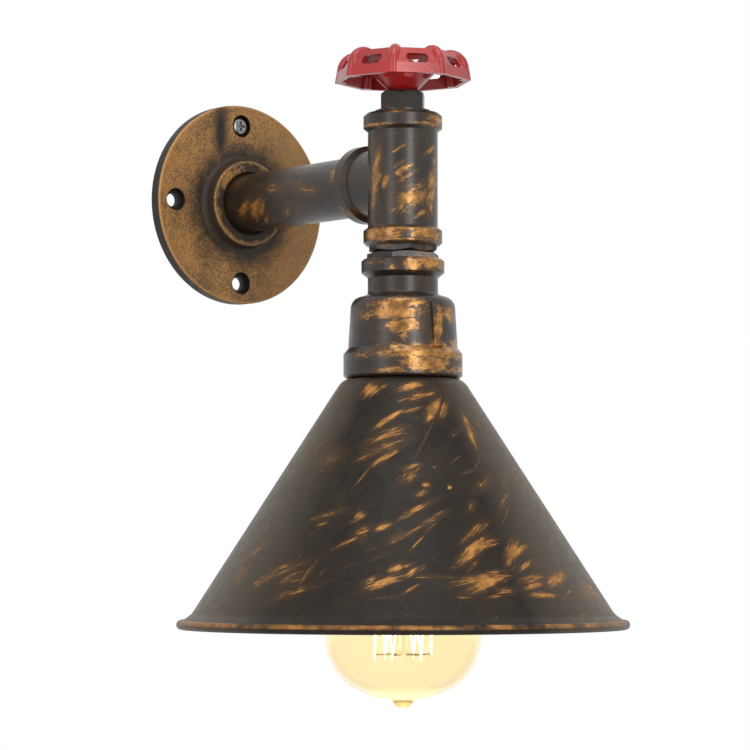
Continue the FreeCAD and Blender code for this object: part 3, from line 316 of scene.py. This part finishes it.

# the dark paint that was left: a ragged halo round the hub, the rim's side, the screw recesses, and a few
# smears of painted shade
ragged = sums(tree, "MULTIPLY_ADD", grain["Fine"], 4.0, -8.0)
ragged = sums(tree, "MULTIPLY_ADD", grain["Middle"], 12.0, ragged)
halo = ramp(tree, sums(tree, "ADD", radius, ragged), HALO_START, HALO_END, 0.92, 0.0)
painted_shade_smears = sums(tree, "MULTIPLY", brushed(tree, flat, PAINTED_SHADE_SMEARS, hair=(9.0, 2.2))[1], 0.8)
behind_rim = ramp(tree, apart["Y"], PLATE_FACE + 0.4, PLATE_FACE + 1.0)
rim_side = ramp(tree, radius, FLANGE_RADIUS - 0.7, FLANGE_RADIUS - 0.3)
rim_side = sums(tree, "MULTIPLY", rim_side, behind_rim)
behind_face = ramp(tree, apart["Y"], PLATE_FACE + 0.25, PLATE_FACE + 0.8)
recess = ramp(tree, radius, FLANGE_RADIUS - 2.1, FLANGE_RADIUS - 1.7, 1.0, 0.0)
recess = sums(tree, "MULTIPLY", recess, behind_face)
dark_share = sums(tree, "MAXIMUM", halo, painted_shade_smears)
dark_share = sums(tree, "MAXIMUM", dark_share, sums(tree, "MAXIMUM", rim_side, recess))

# the hub's end, where its edge and one patch are rubbed back to gold
hub_end = ramp(tree, apart["Y"], HUB_FACE + 0.2, HUB_FACE + 1.0, 1.0, 0.0)
worn_radius = sums(tree, "MULTIPLY_ADD", grain["Middle"], -6.0, radius)
hub_edge = ramp(tree, worn_radius, HUB_MOUTH, HUB_MOUTH_WORN)
hub_patch = brushed(tree, flat, HUB_RUB, hair=(2.0, 1.2), cover=0.5)[0]
hub_gold = sums(tree, "MULTIPLY", hub_end, sums(tree, "MAXIMUM", hub_edge, hub_patch))
dark_share = sums(tree, "MULTIPLY", dark_share, sums(tree, "SUBTRACT", 1.0, hub_gold))

# the gold itself, with a painted highlight on the rim's front corner and painted light on the side that the
# soft box lights
lip = sums(tree, "MULTIPLY", ramp(tree, radius, FLANGE_RADIUS - 1.3, FLANGE_RADIUS - 0.7),
           ramp(tree, apart["Y"], PLATE_FACE + 0.3, PLATE_FACE + 0.8, 1.0, 0.0))
pitting = sums(tree, "MULTIPLY_ADD", grain["Fine"], 0.65, sums(tree, "MULTIPLY", grain["Coarse"], 0.35))
gold = mottle(tree, pitting, paint(106, 84, 58), paint(174, 127, 74), 0.42, 0.58)
gold = tint(tree, sums(tree, "MULTIPLY", lip, 0.7), gold, paint(190, 140, 88))
gold = tint(tree, ramp(tree, apart["X"], 4.0, 26.0, 0.0, 0.45), gold, paint(178, 136, 90))
shader.inputs["Specular IOR Level"].default_value = 0.25
join(tree, shader, bump_height=grain["Fine"], bump=0.00025,
     Base_Color=tint(tree, dark_share, gold, paint(36, 32, 29)),
     Metallic=ramp(tree, dark_share, 0.0, 1.0, 0.30, 0.0),
     Roughness=spread(tree, grain["Middle"], 0.42, 0.60))
wear("rubbed_flange", "wall_flange")

# ---------------------------------------------------------------- flange screw
# Zinc plated pan-head screw with a cross recess, driven through the flange's top hole. Its head sits down
# in the hole's counterbore.

tree, shader = new_paint("bright_steel")
place = face_place(tree)
turned_lines = use_group(tree, speckle, Place=place, Size=0.6)
shader.inputs["Metallic"].default_value = 1.0
join(tree, shader, bump_height=turned_lines["Fine"], bump=0.00004,
     Base_Color=mottle(tree, turned_lines["Middle"], paint(104, 106, 108), paint(150, 150, 148)),
     Roughness=spread(tree, turned_lines["Fine"], 0.20, 0.36))
wear("bright_steel", "flange_screw")

# ---------------------------------------------------------------- arm pipe
# Three-quarter inch steel pipe, threaded into the flange and the tee, dark with gold rubbed on by the hub
# and beside the tee.

DARK_PAINT, WARM_PAINT = paint(32, 27, 23), paint(60, 45, 31)
DEEP_GOLD, BRIGHT_GOLD = paint(116, 80, 44), paint(190, 136, 68)


def rubbed_bronze(name, chart, marks, hair=(7.0, 0.6), cover=0.36):
    """Black-brown satin paint with gold dry-brushed over it."""
    tree, shader = new_paint(name)
    surface = chart(tree)
    grain = use_group(tree, speckle, Place=surface)
    mask, haze = brushed(tree, surface, marks, hair, cover)
    dark = mottle(tree, grain["Coarse"], DARK_PAINT, WARM_PAINT, high=0.68)
    dark = tint(tree, sums(tree, "MULTIPLY", haze, 0.38), dark, DEEP_GOLD)
    gold = mottle(tree, grain["Middle"], DEEP_GOLD, BRIGHT_GOLD, 0.38, 0.64)
    rubbed_smooth = sums(tree, "MULTIPLY_ADD", mask, -0.2, grain["Middle"])
    shader.inputs["Specular IOR Level"].default_value = 0.42
    join(tree, shader, bump_height=grain["Fine"], bump=0.00012,
         Base_Color=tint(tree, mask, dark, gold), Metallic=sums(tree, "MULTIPLY", mask, 0.45),
         Roughness=ramp(tree, rubbed_smooth, 0.2, 0.8, 0.22, 0.38))


def arm_chart(radius):
    """Unrolls a round piece on the arm's axis: across is round the pipe from its nearer side, up is along
    +Y. Both sides of the pipe read the same touches."""
    def chart(tree):
        apart = put(tree, "SeparateXYZ", {0: face_place(tree)}).outputs
        below = sums(tree, "MULTIPLY", apart["Z"], -1.0)
        angle = sums(tree, "ARCTAN2", below, sums(tree, "ABSOLUTE", apart["X"]))
        return put(tree, "CombineXYZ", {0: sums(tree, "MULTIPLY", angle, radius), 1: apart["Y"]}).outputs[0]
    return chart


PIPE_RADIUS = 13.45
rubbed_bronze("rubbed_arm", arm_chart(PIPE_RADIUS), {
    57: [(4.6, -26.3, 6.2, 2.7, 0.95), (6.2, -35.0, 7.4, 3.7, 0.95), (12.0, -37.7, 5.7, 1.3, 0.7),
         (8.6, -55.7, 5.8, 1.7, 0.6)],
    30: [(24.0, -60.0, 9.0, 3.0, 0.7), (-22.0, -75.0, 8.0, 3.0, 0.7)],
    -78: [(-2.7, -50.3, 7.0, 2.2, 0.55), (-0.8, -70.2, 13.6, 2.9, 0.55), (-4.6, -95.9, 5.2, 3.8, 0.9),
          (4.4, -99.5, 2.9, 3.0, 0.7)]}, cover=0.40)
wear("rubbed_arm", "arm_pipe")

# ---------------------------------------------------------------- tee
# Malleable iron tee. The gold lies along the bands' edges, in slanting strokes down the front and in broad
# rubs on both sides.

wheel_spin = next(joint for joint in frame["joints"] if joint["name"] == "wheel_spin")
LAMP_Y = 1000 * wheel_spin["pos_m"][1]
TO_FRONT = -atan2(1000 * camera.location.y - LAMP_Y, 1000 * camera.location.x)


def from_point(tree, place, point):
    """A place as seen from another point."""
    return put(tree, "VectorMath", {0: place, 1: point}, operation="SUBTRACT").outputs[0]


def front_place(tree):
    """Object position in millimetres from the lamp's axis, turned so that its front faces +X."""
    return turned(tree, from_point(tree, face_place(tree), (0.0, LAMP_Y, 0.0)), TO_FRONT)


def lamp_chart(radius):
    """Unrolls a round piece on the lamp's axis: across is round it from the side seen in front, up is +Z.
    The back reads the same touches as the front."""
    def chart(tree):
        apart = put(tree, "SeparateXYZ", {0: front_place(tree)}).outputs
        angle = sums(tree, "ARCTAN2", apart["Y"], sums(tree, "ABSOLUTE", apart["X"]))
        return put(tree, "CombineXYZ", {0: sums(tree, "MULTIPLY", angle, radius), 1: apart["Z"]}).outputs[0]
    return chart


TEE_RADIUS = 16.0
rubbed_bronze("rubbed_tee", lamp_chart(TEE_RADIUS), {
    0: [(-1.9, 18.7, 3.1, 0.6, 0.5), (-14.1, 22.7, 9.2, 0.9, 0.8), (16.4, 25.4, 5.9, 2.4, 0.8),
        (-3.2, 28.0, 3.6, 0.6, 0.8), (12.3, 23.1, 8.5, 0.9, 0.8), (-12.0, -25.0, 13.0, 3.4, 0.85),
        (12.7, -25.0, 9.0, 3.0, 0.85), (2.7, -22.9, 20.0, 0.9, 0.85), (0.0, -27.7, 20.0, 0.6, 0.8),
        (38.0, 25.0, 8.0, 2.0, 0.8), (-36.0, -25.0, 9.0, 2.6, 0.9)],
    30: [(-1.9, 12.0, 4.2, 0.7, 0.8), (-0.1, 5.9, 4.1, 1.2, 0.6), (0.3, 3.2, 4.4, 1.6, 0.95),
         (2.2, 0.2, 6.0, 1.4, 0.6), (3.5, -9.2, 9.1, 4.6, 0.75), (6.6, -9.2, 6.6, 2.5, 0.7),
         (8.3, -16.2, 4.1, 1.0, 1.0), (14.7, 11.9, 4.7, 1.3, 0.6), (7.5, -24.4, 3.6, 1.6, 1.0),
         (30.0, 0.0, 9.0, 5.0, 0.7), (-34.0, 4.0, 9.0, 5.0, 0.7)],
    80: [(15.9, -4.3, 11.4, 3.0, 0.85), (-14.6, -1.3, 17.0, 3.4, 0.7), (-8.4, -2.2, 3.5, 1.6, 0.8)]},
    hair=(3.0, 0.5), cover=0.45)
wear("rubbed_tee", "tee", "stem_bush")

# ---------------------------------------------------------------- gland
# Blackened iron gland nut over its graphite packing, and the two hexagon bushes under the tee in the same
# iron. A little gold shows through in blotches.

tree, shader = new_paint("dark_iron")
grain = use_group(tree, speckle, Place=face_place(tree), Size=0.8)
shader.inputs["Specular IOR Level"].default_value = 0.35
join(tree, shader, bump_height=grain["Fine"], bump=0.00012,
     Base_Color=mottle(tree, grain["Coarse"], paint(46, 41, 37), paint(112, 84, 48), 0.56, 0.66),
     Roughness=spread(tree, grain["Middle"], 0.22, 0.34))
wear("dark_iron", "gland_nut", "upper_hex_bush", "lower_hex_bush")

tree, shader = new_paint("graphite_cord")
grain = use_group(tree, speckle, Place=face_place(tree), Size=0.5)
join(tree, shader, bump_height=grain["Fine"], bump=0.0003,
     Base_Color=tint(tree, grain["Fine"], paint(38, 38, 38), paint(70, 70, 68)),
     Roughness=spread(tree, grain["Fine"], 0.7, 0.9))
wear("graphite_cord", "gland_packing")

# ---------------------------------------------------------------- handwheel
# Cast wheel dipped in gloss red enamel. It sits on the square of the turned stem and is held down by a zinc
# plated washer and nut.

tree, shader = new_paint("red_enamel")
grain = use_group(tree, speckle, Place=face_place(tree))
shader.inputs["Specular IOR Level"].default_value = 0.5
shader.inputs["Coat Weight"].default_value = 0.25
shader.inputs["Coat Roughness"].default_value = 0.08
join(tree, shader, bump_height=grain["Middle"], bump=0.0003,
     Base_Color=mottle(tree, grain["Coarse"], paint(150, 20, 22), paint(176, 30, 30)),
     Roughness=spread(tree, grain["Middle"], 0.30, 0.42))
wear("red_enamel", "handwheel")


def grained(name, first, second, size=0.6, metallic=0.0, rough=(0.35, 0.5), bump=0.00008, turn=0.35):
    """A plain finish with a fine grain: plating, moulded plastic or glaze."""
    tree, shader = new_paint(name)
    grain = use_group(tree, speckle, Place=face_place(tree), Size=size)
    shader.inputs["Metallic"].default_value = metallic
    join(tree, shader, bump_height=grain["Fine"], bump=bump,
         Base_Color=mottle(tree, grain["Middle"], first, second, turn, 1.0 - turn),
         Roughness=spread(tree, grain["Fine"], *rough))


grained("zinc_steel", paint(140, 142, 146), paint(186, 186, 180), size=0.5, metallic=1.0, rough=(0.26, 0.42),
        bump=0.00005, turn=0.3)
wear("zinc_steel", "valve_stem", "wheel_washer", "wheel_nut")

# ---------------------------------------------------------------- cable, terminals and central tube
# Inside the pipe and tee, three insulated wires run from the wall to the holder and an earth tag. A zinc
# plated threaded tube with two nuts clamps tee, bushes and cup together.

grained("brass", paint(176, 138, 66), paint(206, 170, 96), metallic=1.0, rough=(0.24, 0.38))
wear("zinc_steel", "threaded_tube", "tube_nut_upper", "tube_nut_lower")
wear("brass", "earth_tag", "terminal_screws")
for name, first, second in (("brown_sleeve", paint(78, 48, 30), paint(94, 60, 38)),
                            ("blue_sleeve", paint(40, 84, 150), paint(54, 100, 168)),
                            ("green_sleeve", paint(62, 122, 44), paint(196, 190, 52))):
    grained(name, first, second, size=1.2, rough=(0.42, 0.52))
wear("brown_sleeve", "live_wire")
wear("blue_sleeve", "neutral_wire")
wear("green_sleeve", "earth_wire")

# ---------------------------------------------------------------- lamp cup
# Cast bell coupling that hides the lampholder and carries the shade. Its neck is satin black, and gold is
# rubbed over its collar, its body with the two casting ribs, and its lowest band.

CUP_RADIUS = 23.0
rubbed_bronze("rubbed_cup", lamp_chart(CUP_RADIUS), {
    0: [(6.0, -38.6, 5.5, 2.6, 1.0), (18.5, -36.6, 14.0, 3.4, 0.9), (-16.7, -37.3, 8.2, 1.3, 0.5),
        (-5.3, -39.8, 3.6, 1.6, 0.5), (-1.9, -55.6, 12.0, 2.4, 1.0), (-2.6, -59.4, 10.8, 3.2, 0.95),
        (-0.6, -65.3, 7.4, 3.2, 0.85), (0.7, -69.7, 2.2, 2.2, 0.7), (-20.0, -60.4, 5.8, 2.5, 0.5),
        (28.6, -73.0, 7.2, 2.6, 0.8), (12.0, -76.4, 22.0, 3.4, 0.95), (9.7, -81.4, 10.1, 4.0, 0.95),
        (-4.2, -84.5, 7.6, 1.6, 0.6), (26.4, -83.4, 9.6, 2.3, 0.6), (-20.0, -77.9, 8.4, 1.7, 0.5),
        (55.0, -76.0, 14.0, 3.0, 0.8), (-52.0, -78.0, 14.0, 3.0, 0.8), (50.0, -58.0, 12.0, 3.0, 0.7),
        (-50.0, -58.0, 12.0, 3.0, 0.7)],
    -40: [(24.2, -60.2, 6.1, 3.9, 0.75)],
    80: [(15.2, -66.4, 8.7, 2.2, 0.95)]}, hair=(2.6, 0.7), cover=0.50)
wear("rubbed_cup", "lamp_cup")

# ---------------------------------------------------------------- lampholder
# Black phenolic dome and skirt over a glazed ceramic insert and a nickelled brass screw shell. It hangs
# from the threaded tube inside the cup, and the bulb's cap goes up into the shell.

grained("holder_black", paint(30, 28, 27), paint(42, 39, 37), size=1.0, rough=(0.28, 0.42))
grained("ceramic", paint(226, 222, 210), paint(240, 237, 228), size=2.0, rough=(0.22, 0.32))
grained("nickelled_brass", paint(186, 180, 164), paint(214, 208, 194), metallic=1.0, rough=(0.2, 0.34))
wear("holder_black", "holder_dome", "holder_skirt")
wear("ceramic", "holder_insert")
wear("nickelled_brass", "socket_shell")
wear("brass", "centre_contact")

# ---------------------------------------------------------------- shade
# Spun steel cone with a rolled lip, black-brown outside with gold dry-brushed over it in slanting strokes,
# most of it low on the right, and plain dark inside. A black ring clamps it to the holder.

CONE_TOP, CONE_HEIGHT = -86.8, 102.2
CONE_TOP_RADIUS, CONE_FOOT_RADIUS = 25.9, 91.5
SHADE_SLOPE = atan((CONE_FOOT_RADIUS - CONE_TOP_RADIUS) / CONE_HEIGHT)
SHADE_APEX = CONE_TOP + CONE_TOP_RADIUS / tan(SHADE_SLOPE)


def cone_chart(tree):
    """Unrolls the cone in millimetres about its apex: across is round it from the side seen in front, up is
    to the apex. The back reads the same touches as the front."""
    place = from_point(tree, front_place(tree), (0.0, 0.0, SHADE_APEX))
    apart = put(tree, "SeparateXYZ", {0: place}).outputs
    slant = put(tree, "VectorMath", {0: place}, operation="LENGTH").outputs["Value"]
    angle = sums(tree, "ARCTAN2", apart["Y"], sums(tree, "ABSOLUTE", apart["X"]))
    angle = sums(tree, "MULTIPLY", angle, sin(SHADE_SLOPE))
    across = sums(tree, "MULTIPLY", slant, sums(tree, "SINE", angle))
    down = sums(tree, "MULTIPLY", slant, sums(tree, "COSINE", angle))
    return put(tree, "CombineXYZ", {0: across, 1: sums(tree, "MULTIPLY", down, -1.0)}).outputs[0]


# The brush's touches on the shade, read off two enlargements of the 750 pixel picture. The key is
# the enlargement's left and top edge in the picture and its scale. Each touch is (start across, start down,
# end across, end down, width) in the enlargement's pixels, and how strongly it covers.
PICTURE_SIDE = 750
SHADE_TOUCHES = {
    (175, 370, 5.81): [
        (1080, 150, 1180, 75, 70, 0.85), (1180, 110, 1235, 80, 25, 0.6), (955, 165, 1020, 85, 14, 0.35),
        (960, 290, 1020, 250, 25, 0.35), (870, 350, 900, 325, 25, 0.25), (740, 530, 900, 400, 90, 0.35),
        (820, 560, 980, 470, 90, 0.45), (1150, 345, 1330, 235, 25, 0.95), (1120, 435, 1336, 330, 55, 0.75),
        (1080, 520, 1330, 395, 45, 0.75), (1130, 560, 1315, 455, 30, 0.9), (1030, 680, 1140, 570, 14, 0.7),
        (800, 868, 985, 812, 28, 0.7), (815, 905, 890, 880, 40, 0.55), (780, 962, 850, 915, 20, 0.35),
        (1050, 870, 1100, 825, 45, 0.85), (1000, 900, 1090, 850, 20, 0.5), (1030, 960, 1140, 900, 50, 0.65),
        (1165, 930, 1260, 890, 40, 0.9), (1230, 1005, 1336, 945, 40, 0.7), (915, 1045, 1090, 960, 28, 0.6),
        (1060, 1000, 1110, 960, 60, 0.4), (1100, 1055, 1170, 1030, 12, 0.4),
        (1100, 1130, 1190, 1085, 14, 0.35), (1160, 1100, 1250, 1060, 14, 0.35),
        (575, 950, 640, 885, 25, 0.35), (360, 1120, 540, 1018, 14, 0.6), (330, 1215, 430, 1165, 60, 0.6),
        (520, 1165, 700, 1140, 30, 0.5), (450, 1195, 770, 1185, 20, 0.5), (600, 1240, 770, 1170, 110, 0.5),
        (520, 1300, 840, 1305, 30, 0.45), (700, 1260, 840, 1100, 30, 0.5),
        (1075, 1245, 1190, 1205, 35, 0.8), (1100, 1275, 1336, 1195, 45, 0.95),
        (1240, 1180, 1336, 1130, 60, 0.8), (1140, 1328, 1300, 1318, 12, 0.45),
        (830, 1200, 880, 1150, 20, 0.3), (970, 1150, 1060, 1120, 14, 0.35)],
    (400, 370, 5.83): [
        (0, 120, 135, 75, 45, 1.0), (20, 180, 230, 125, 50, 0.65), (0, 258, 145, 205, 22, 0.7),
        (160, 290, 225, 165, 70, 1.0), (215, 280, 285, 190, 60, 0.8), (110, 505, 180, 300, 14, 0.75),
        (380, 255, 425, 440, 45, 0.85), (440, 290, 465, 340, 25, 0.6), (290, 395, 350, 330, 40, 0.35),
        (0, 580, 130, 545, 30, 0.6), (0, 670, 100, 560, 60, 0.55), (20, 650, 110, 600, 60, 0.4),
        (130, 670, 175, 672, 40, 1.0), (190, 570, 210, 560, 16, 0.7), (278, 688, 300, 680, 22, 0.9),
        (90, 740, 150, 700, 40, 0.65), (365, 612, 440, 575, 18, 0.75), (440, 570, 475, 490, 10, 0.6),
        (290, 560, 350, 490, 10, 0.5), (440, 720, 525, 620, 70, 0.55), (590, 680, 620, 610, 25, 0.5),
        (620, 620, 720, 640, 50, 0.3), (560, 830, 645, 710, 40, 0.55), (580, 910, 650, 780, 12, 0.5),
        (770, 760, 800, 850, 14, 0.35), (0, 860, 210, 760, 30, 0.8), (0, 975, 160, 900, 22, 0.85),
        (110, 910, 280, 825, 35, 0.65), (50, 1062, 150, 960, 14, 0.7), (130, 960, 230, 870, 20, 0.5),
        (390, 830, 440, 760, 50, 0.45), (370, 1000, 510, 880, 60, 0.65), (400, 980, 490, 895, 20, 0.8),
        (330, 1120, 530, 985, 70, 1.0), (420, 1060, 560, 990, 40, 0.8), (390, 1160, 470, 1110, 30, 0.5),
        (610, 1115, 690, 1000, 70, 1.0), (660, 1090, 735, 1020, 40, 0.9), (690, 1170, 780, 1105, 25, 0.9),
        (640, 1170, 700, 1125, 14, 0.7), (760, 1150, 815, 1110, 30, 0.5), (330, 1250, 600, 1190, 50, 0.95),
        (390, 1295, 615, 1200, 60, 1.0), (480, 1190, 600, 1165, 25, 0.7), (560, 1300, 670, 1280, 50, 0.7),
        (330, 1330, 410, 1326, 12, 0.8), (500, 1325, 600, 1318, 22, 0.75), (0, 1150, 90, 1130, 25, 0.7),
        (0, 1215, 130, 1150, 40, 0.8), (0, 1310, 130, 1245, 22, 0.7), (60, 1205, 320, 1210, 22, 0.45),
        (700, 1230, 850, 1205, 40, 0.8), (720, 1270, 850, 1245, 30, 0.9), (760, 1315, 905, 1310, 26, 1.0),
        (870, 1260, 960, 1180, 70, 1.0), (880, 1215, 950, 1200, 50, 0.9), (940, 1340, 1005, 1280, 12, 0.6),
        (1030, 1300, 1160, 1302, 14, 0.6), (1050, 1435, 1090, 1432, 14, 0.5),
        (1180, 1390, 1230, 1400, 10, 0.4)],
}
# The hairs of a touch run in one of six tilts, in degrees, each for the touches that lean less than its value.
STEEPEST_OF_TILT = {-68: -40, 4: 12, 21: 28, 35: 42, 50: 58, 68: 90}
FINEST_TOUCH = 0.5


def seen_on_cone(pixel):
    """The unrolled cone's point, in millimetres, that shows at a pixel of the picture: where the camera's
    line of sight first meets the cone."""
    focus = PICTURE_SIDE * camera.data.lens / camera.data.sensor_width
    sight = Vector((pixel.x - PICTURE_SIDE / 2, PICTURE_SIDE / 2 - pixel.y, -focus)).normalized()
    to_front = Matrix.Rotation(TO_FRONT, 3, "Z")
    sight = to_front @ camera.rotation_euler.to_matrix() @ sight
    eye = to_front @ (1000 * camera.location - Vector((0.0, LAMP_Y, SHADE_APEX)))
    cone = Vector((1.0, 1.0, -tan(SHADE_SLOPE) ** 2))
    square, cross, rest = (sight * cone).dot(sight), (sight * cone).dot(eye), (eye * cone).dot(eye)
    point = eye + sight * (-cross - sqrt(max(cross * cross - square * rest, 0.0))) / square
    angle = atan2(point.y, point.x) * sin(SHADE_SLOPE)
    return point.length * Vector((sin(angle), -cos(angle)))


def shade_marks():
    """The touches in millimetres on the unrolled cone, as brushed takes them, under their hairs' tilts."""
    marks = {tilt: [] for tilt in STEEPEST_OF_TILT}
    for (left, top, scale), touches in SHADE_TOUCHES.items():
        for start_x, start_y, end_x, end_y, width, strength in touches:
            start = Vector((left + start_x / scale, top + start_y / scale))
            end = Vector((left + end_x / scale, top + end_y / scale))
            aside = (end - start).orthogonal().normalized() * width / scale / 2
            along = seen_on_cone(end) - seen_on_cone(start)
            middle = (seen_on_cone(end) + seen_on_cone(start)) / 2
            half_width = (seen_on_cone((start + end) / 2 + aside) - middle).length
            lean = (degrees(atan2(along.y, along.x)) + 90) % 180 - 90
            tilt = next(tilt for tilt, steepest in STEEPEST_OF_TILT.items() if lean < steepest)
            marks[tilt].append((*middle, along.length / 2, max(half_width, FINEST_TOUCH), strength))
    return marks


LIP_Z, LIP_RADIUS = -193.2, 96.8

tree, shader = new_paint("rubbed_shade")
place = face_place(tree)
grain = use_group(tree, speckle, Place=place)
mask, haze = brushed(tree, cone_chart(tree), shade_marks(), hair=(6.5, 0.45), cover=0.365)

# the brush only went over the outside, which faces up
facing_up = put(tree, "SeparateXYZ", {0: put(tree, "TexCoord").outputs["Normal"]}).outputs["Z"]
outside = ramp(tree, facing_up, 0.0, 0.15)
mask = sums(tree, "MULTIPLY", mask, outside)
haze = sums(tree, "MULTIPLY", haze, outside)

# worn gold along the rolled lip
front = front_place(tree)
flat = put(tree, "VectorMath", {0: front, 1: (1, 1, 0)}, operation="MULTIPLY").outputs[0]
radius = put(tree, "VectorMath", {0: flat}, operation="LENGTH").outputs["Value"]
height = put(tree, "SeparateXYZ", {0: place}).outputs["Z"]
lip = ramp(tree, height, LIP_Z - 0.6, LIP_Z)
lip = sums(tree, "MULTIPLY", lip, ramp(tree, radius, LIP_RADIUS - 1.2, LIP_RADIUS))
worn_lip = sums(tree, "MULTIPLY", lip, ramp(tree, grain["Coarse"], 0.40, 0.56, 0.0, 0.8))
mask = sums(tree, "MAXIMUM", mask, worn_lip)

# painted sheen: the dark paint turns paler towards both sides of the cone, as seen from the front
side = put(tree, "SeparateXYZ", {0: front}).outputs["Y"]
painted_sheen = sums(tree, "DIVIDE", sums(tree, "ABSOLUTE", side), radius)
dark = mottle(tree, grain["Coarse"], paint(32, 26, 21), paint(46, 38, 30), high=0.68)
dark = tint(tree, ramp(tree, painted_sheen, 0.55, 1.0, 0.0, 0.7), dark, paint(110, 99, 84))
dark = tint(tree, sums(tree, "MULTIPLY", haze, 0.46), dark, paint(108, 76, 44))
gold = mottle(tree, grain["Middle"], paint(122, 84, 46), paint(192, 136, 72), 0.36, 0.66)
shader.inputs["Specular IOR Level"].default_value = 0.16
join(tree, shader, bump_height=grain["Fine"], bump=0.00012,
     Base_Color=tint(tree, mask, dark, gold), Metallic=sums(tree, "MULTIPLY", mask, 0.4),
     Roughness=spread(tree, grain["Middle"], 0.36, 0.52))
wear("rubbed_shade", "shade")
wear("holder_black", "shade_ring")

# ---------------------------------------------------------------- bulb
# Clear glass bulb tinted amber on a cap with a rolled thread, with a glass mount and a lit filament that
# runs up and down between fine wires. The cap's thread is wound on here.


def thread_tree():
    """Geometry Nodes tree of one rolled thread: a round ridge wound about +Z from its lowest turn up."""
    tree = bpy.data.node_groups.new("rolled_thread", "GeometryNodeTree")
    for label, kind in (("Turns", "Float"), ("Radius", "Float"), ("Height", "Float"), ("Ridge", "Float"),
                        ("Lowest", "Vector"), ("Finish", "Material")):
        tree.interface.new_socket(label, in_out="INPUT", socket_type="NodeSocket" + kind)
    tree.interface.new_socket("Thread", in_out="OUTPUT", socket_type="NodeSocketGeometry")
    given = tree.nodes.new("NodeGroupInput").outputs
    result = tree.nodes.new("NodeGroupOutput").inputs

    def step(kind, **links):
        made = tree.nodes.new("GeometryNode" + kind)
        for label, value in links.items():
            if isinstance(value, bpy.types.NodeSocket):
                tree.links.new(value, made.inputs[label.replace("_", " ")])
            else:
                made.inputs[label.replace("_", " ")].default_value = value
        return made.outputs[0]

    winding = step("CurveSpiral", Resolution=48, Rotations=given["Turns"], Start_Radius=given["Radius"],
                   End_Radius=given["Radius"], Height=given["Height"])
    ridge = step("CurvePrimitiveCircle", Resolution=10, Radius=given["Ridge"])
    wound = step("CurveToMesh", Curve=winding, Profile_Curve=ridge, Fill_Caps=True)
    placed = step("Transform", Geometry=wound, Translation=given["Lowest"])
    real = step("RealizeInstances", Geometry=placed)
    finished = step("SetMaterial", Geometry=real, Material=given["Finish"])
    tree.links.new(finished, result["Thread"])
    return tree


rolled_thread = thread_tree()


def wind_thread(name, body, finish, turns, radius, height, ridge, lowest):
    """Make the thread as a plain mesh that rides on one body."""
    carrier = bpy.data.objects.new(name, bpy.data.meshes.new(name))
    bpy.context.scene.collection.objects.link(carrier)
    modifier = carrier.modifiers.new("thread", "NODES")
    modifier.node_group = rolled_thread
    values = {"Turns": turns, "Radius": radius, "Height": height, "Ridge": ridge, "Lowest": lowest,
              "Finish": finishes[finish]}
    for item in rolled_thread.interface.items_tree:
        if item.in_out == "INPUT":
            modifier[item.identifier] = values[item.name]
    graph = bpy.context.evaluated_depsgraph_get()
    mesh = bpy.data.meshes.new_from_object(carrier.evaluated_get(graph))
    carrier.modifiers.remove(modifier)
    carrier.data = mesh
    for face in mesh.polygons:
        face.use_smooth = True
    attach(carrier, body)


grained("bulb_cap_metal", paint(190, 186, 176), paint(220, 216, 206), metallic=1.0, rough=(0.18, 0.3))
wear("bulb_cap_metal", "bulb_cap")
wear("holder_black", "bulb_insulator")
wear("brass", "bulb_contact")
wind_thread("bulb_cap_thread", body="bulb", finish="bulb_cap_metal", turns=3.6,
            radius=0.01262, height=0.0127, ridge=0.00075, lowest=(0, LAMP_Y / 1000, -0.1205))

# The amber glass has a faint painted glow, stronger towards its sealed tip.
SEAL_TOP, SEAL_FULL = -222.0, -226.0

tree, shader = new_paint("amber_glass")
place = face_place(tree)
grain = use_group(tree, speckle, Place=place, Size=3.0)
seal = ramp(tree, put(tree, "SeparateXYZ", {0: place}).outputs["Z"], SEAL_TOP, SEAL_FULL)
shader.inputs["Transmission Weight"].default_value = 1.0
shader.inputs["IOR"].default_value = 1.25
shader.inputs["Emission Strength"].default_value = 0.5
join(tree, shader, Base_Color=tint(tree, grain["Coarse"], paint(252, 239, 202), paint(255, 246, 222)),
     Emission_Color=tint(tree, seal, paint(70, 62, 44), paint(206, 176, 112)),
     Roughness=spread(tree, grain["Middle"], 0.01, 0.03))
wear("amber_glass", "bulb_glass")

tree, shader = new_paint("clear_glass")
grain = use_group(tree, speckle, Place=face_place(tree), Size=2.0)
shader.inputs["Transmission Weight"].default_value = 1.0
shader.inputs["IOR"].default_value = 1.3
join(tree, shader, Base_Color=tint(tree, grain["Coarse"], paint(244, 240, 228), paint(252, 250, 242)),
     Roughness=spread(tree, grain["Middle"], 0.02, 0.05))
wear("clear_glass", "bulb_stem")

tree, shader = new_paint("support_wire")
grain = use_group(tree, speckle, Place=face_place(tree), Size=0.3)
shader.inputs["Metallic"].default_value = 1.0
join(tree, shader, Base_Color=tint(tree, grain["Fine"], paint(150, 146, 140), paint(186, 182, 174)),
     Roughness=spread(tree, grain["Fine"], 0.25, 0.4))
wear("support_wire", "filament_supports")

tree, shader = new_paint("lit_filament")
grain = use_group(tree, speckle, Place=face_place(tree))
shader.inputs["Emission Strength"].default_value = 5.0
join(tree, shader, Base_Color=tint(tree, grain["Fine"], paint(240, 200, 120), paint(255, 230, 170)),
     Emission_Color=tint(tree, grain["Fine"], paint(255, 226, 150), paint(255, 246, 214)),
     Roughness=spread(tree, grain["Fine"], 0.4, 0.6))
wear("lit_filament", "filament")
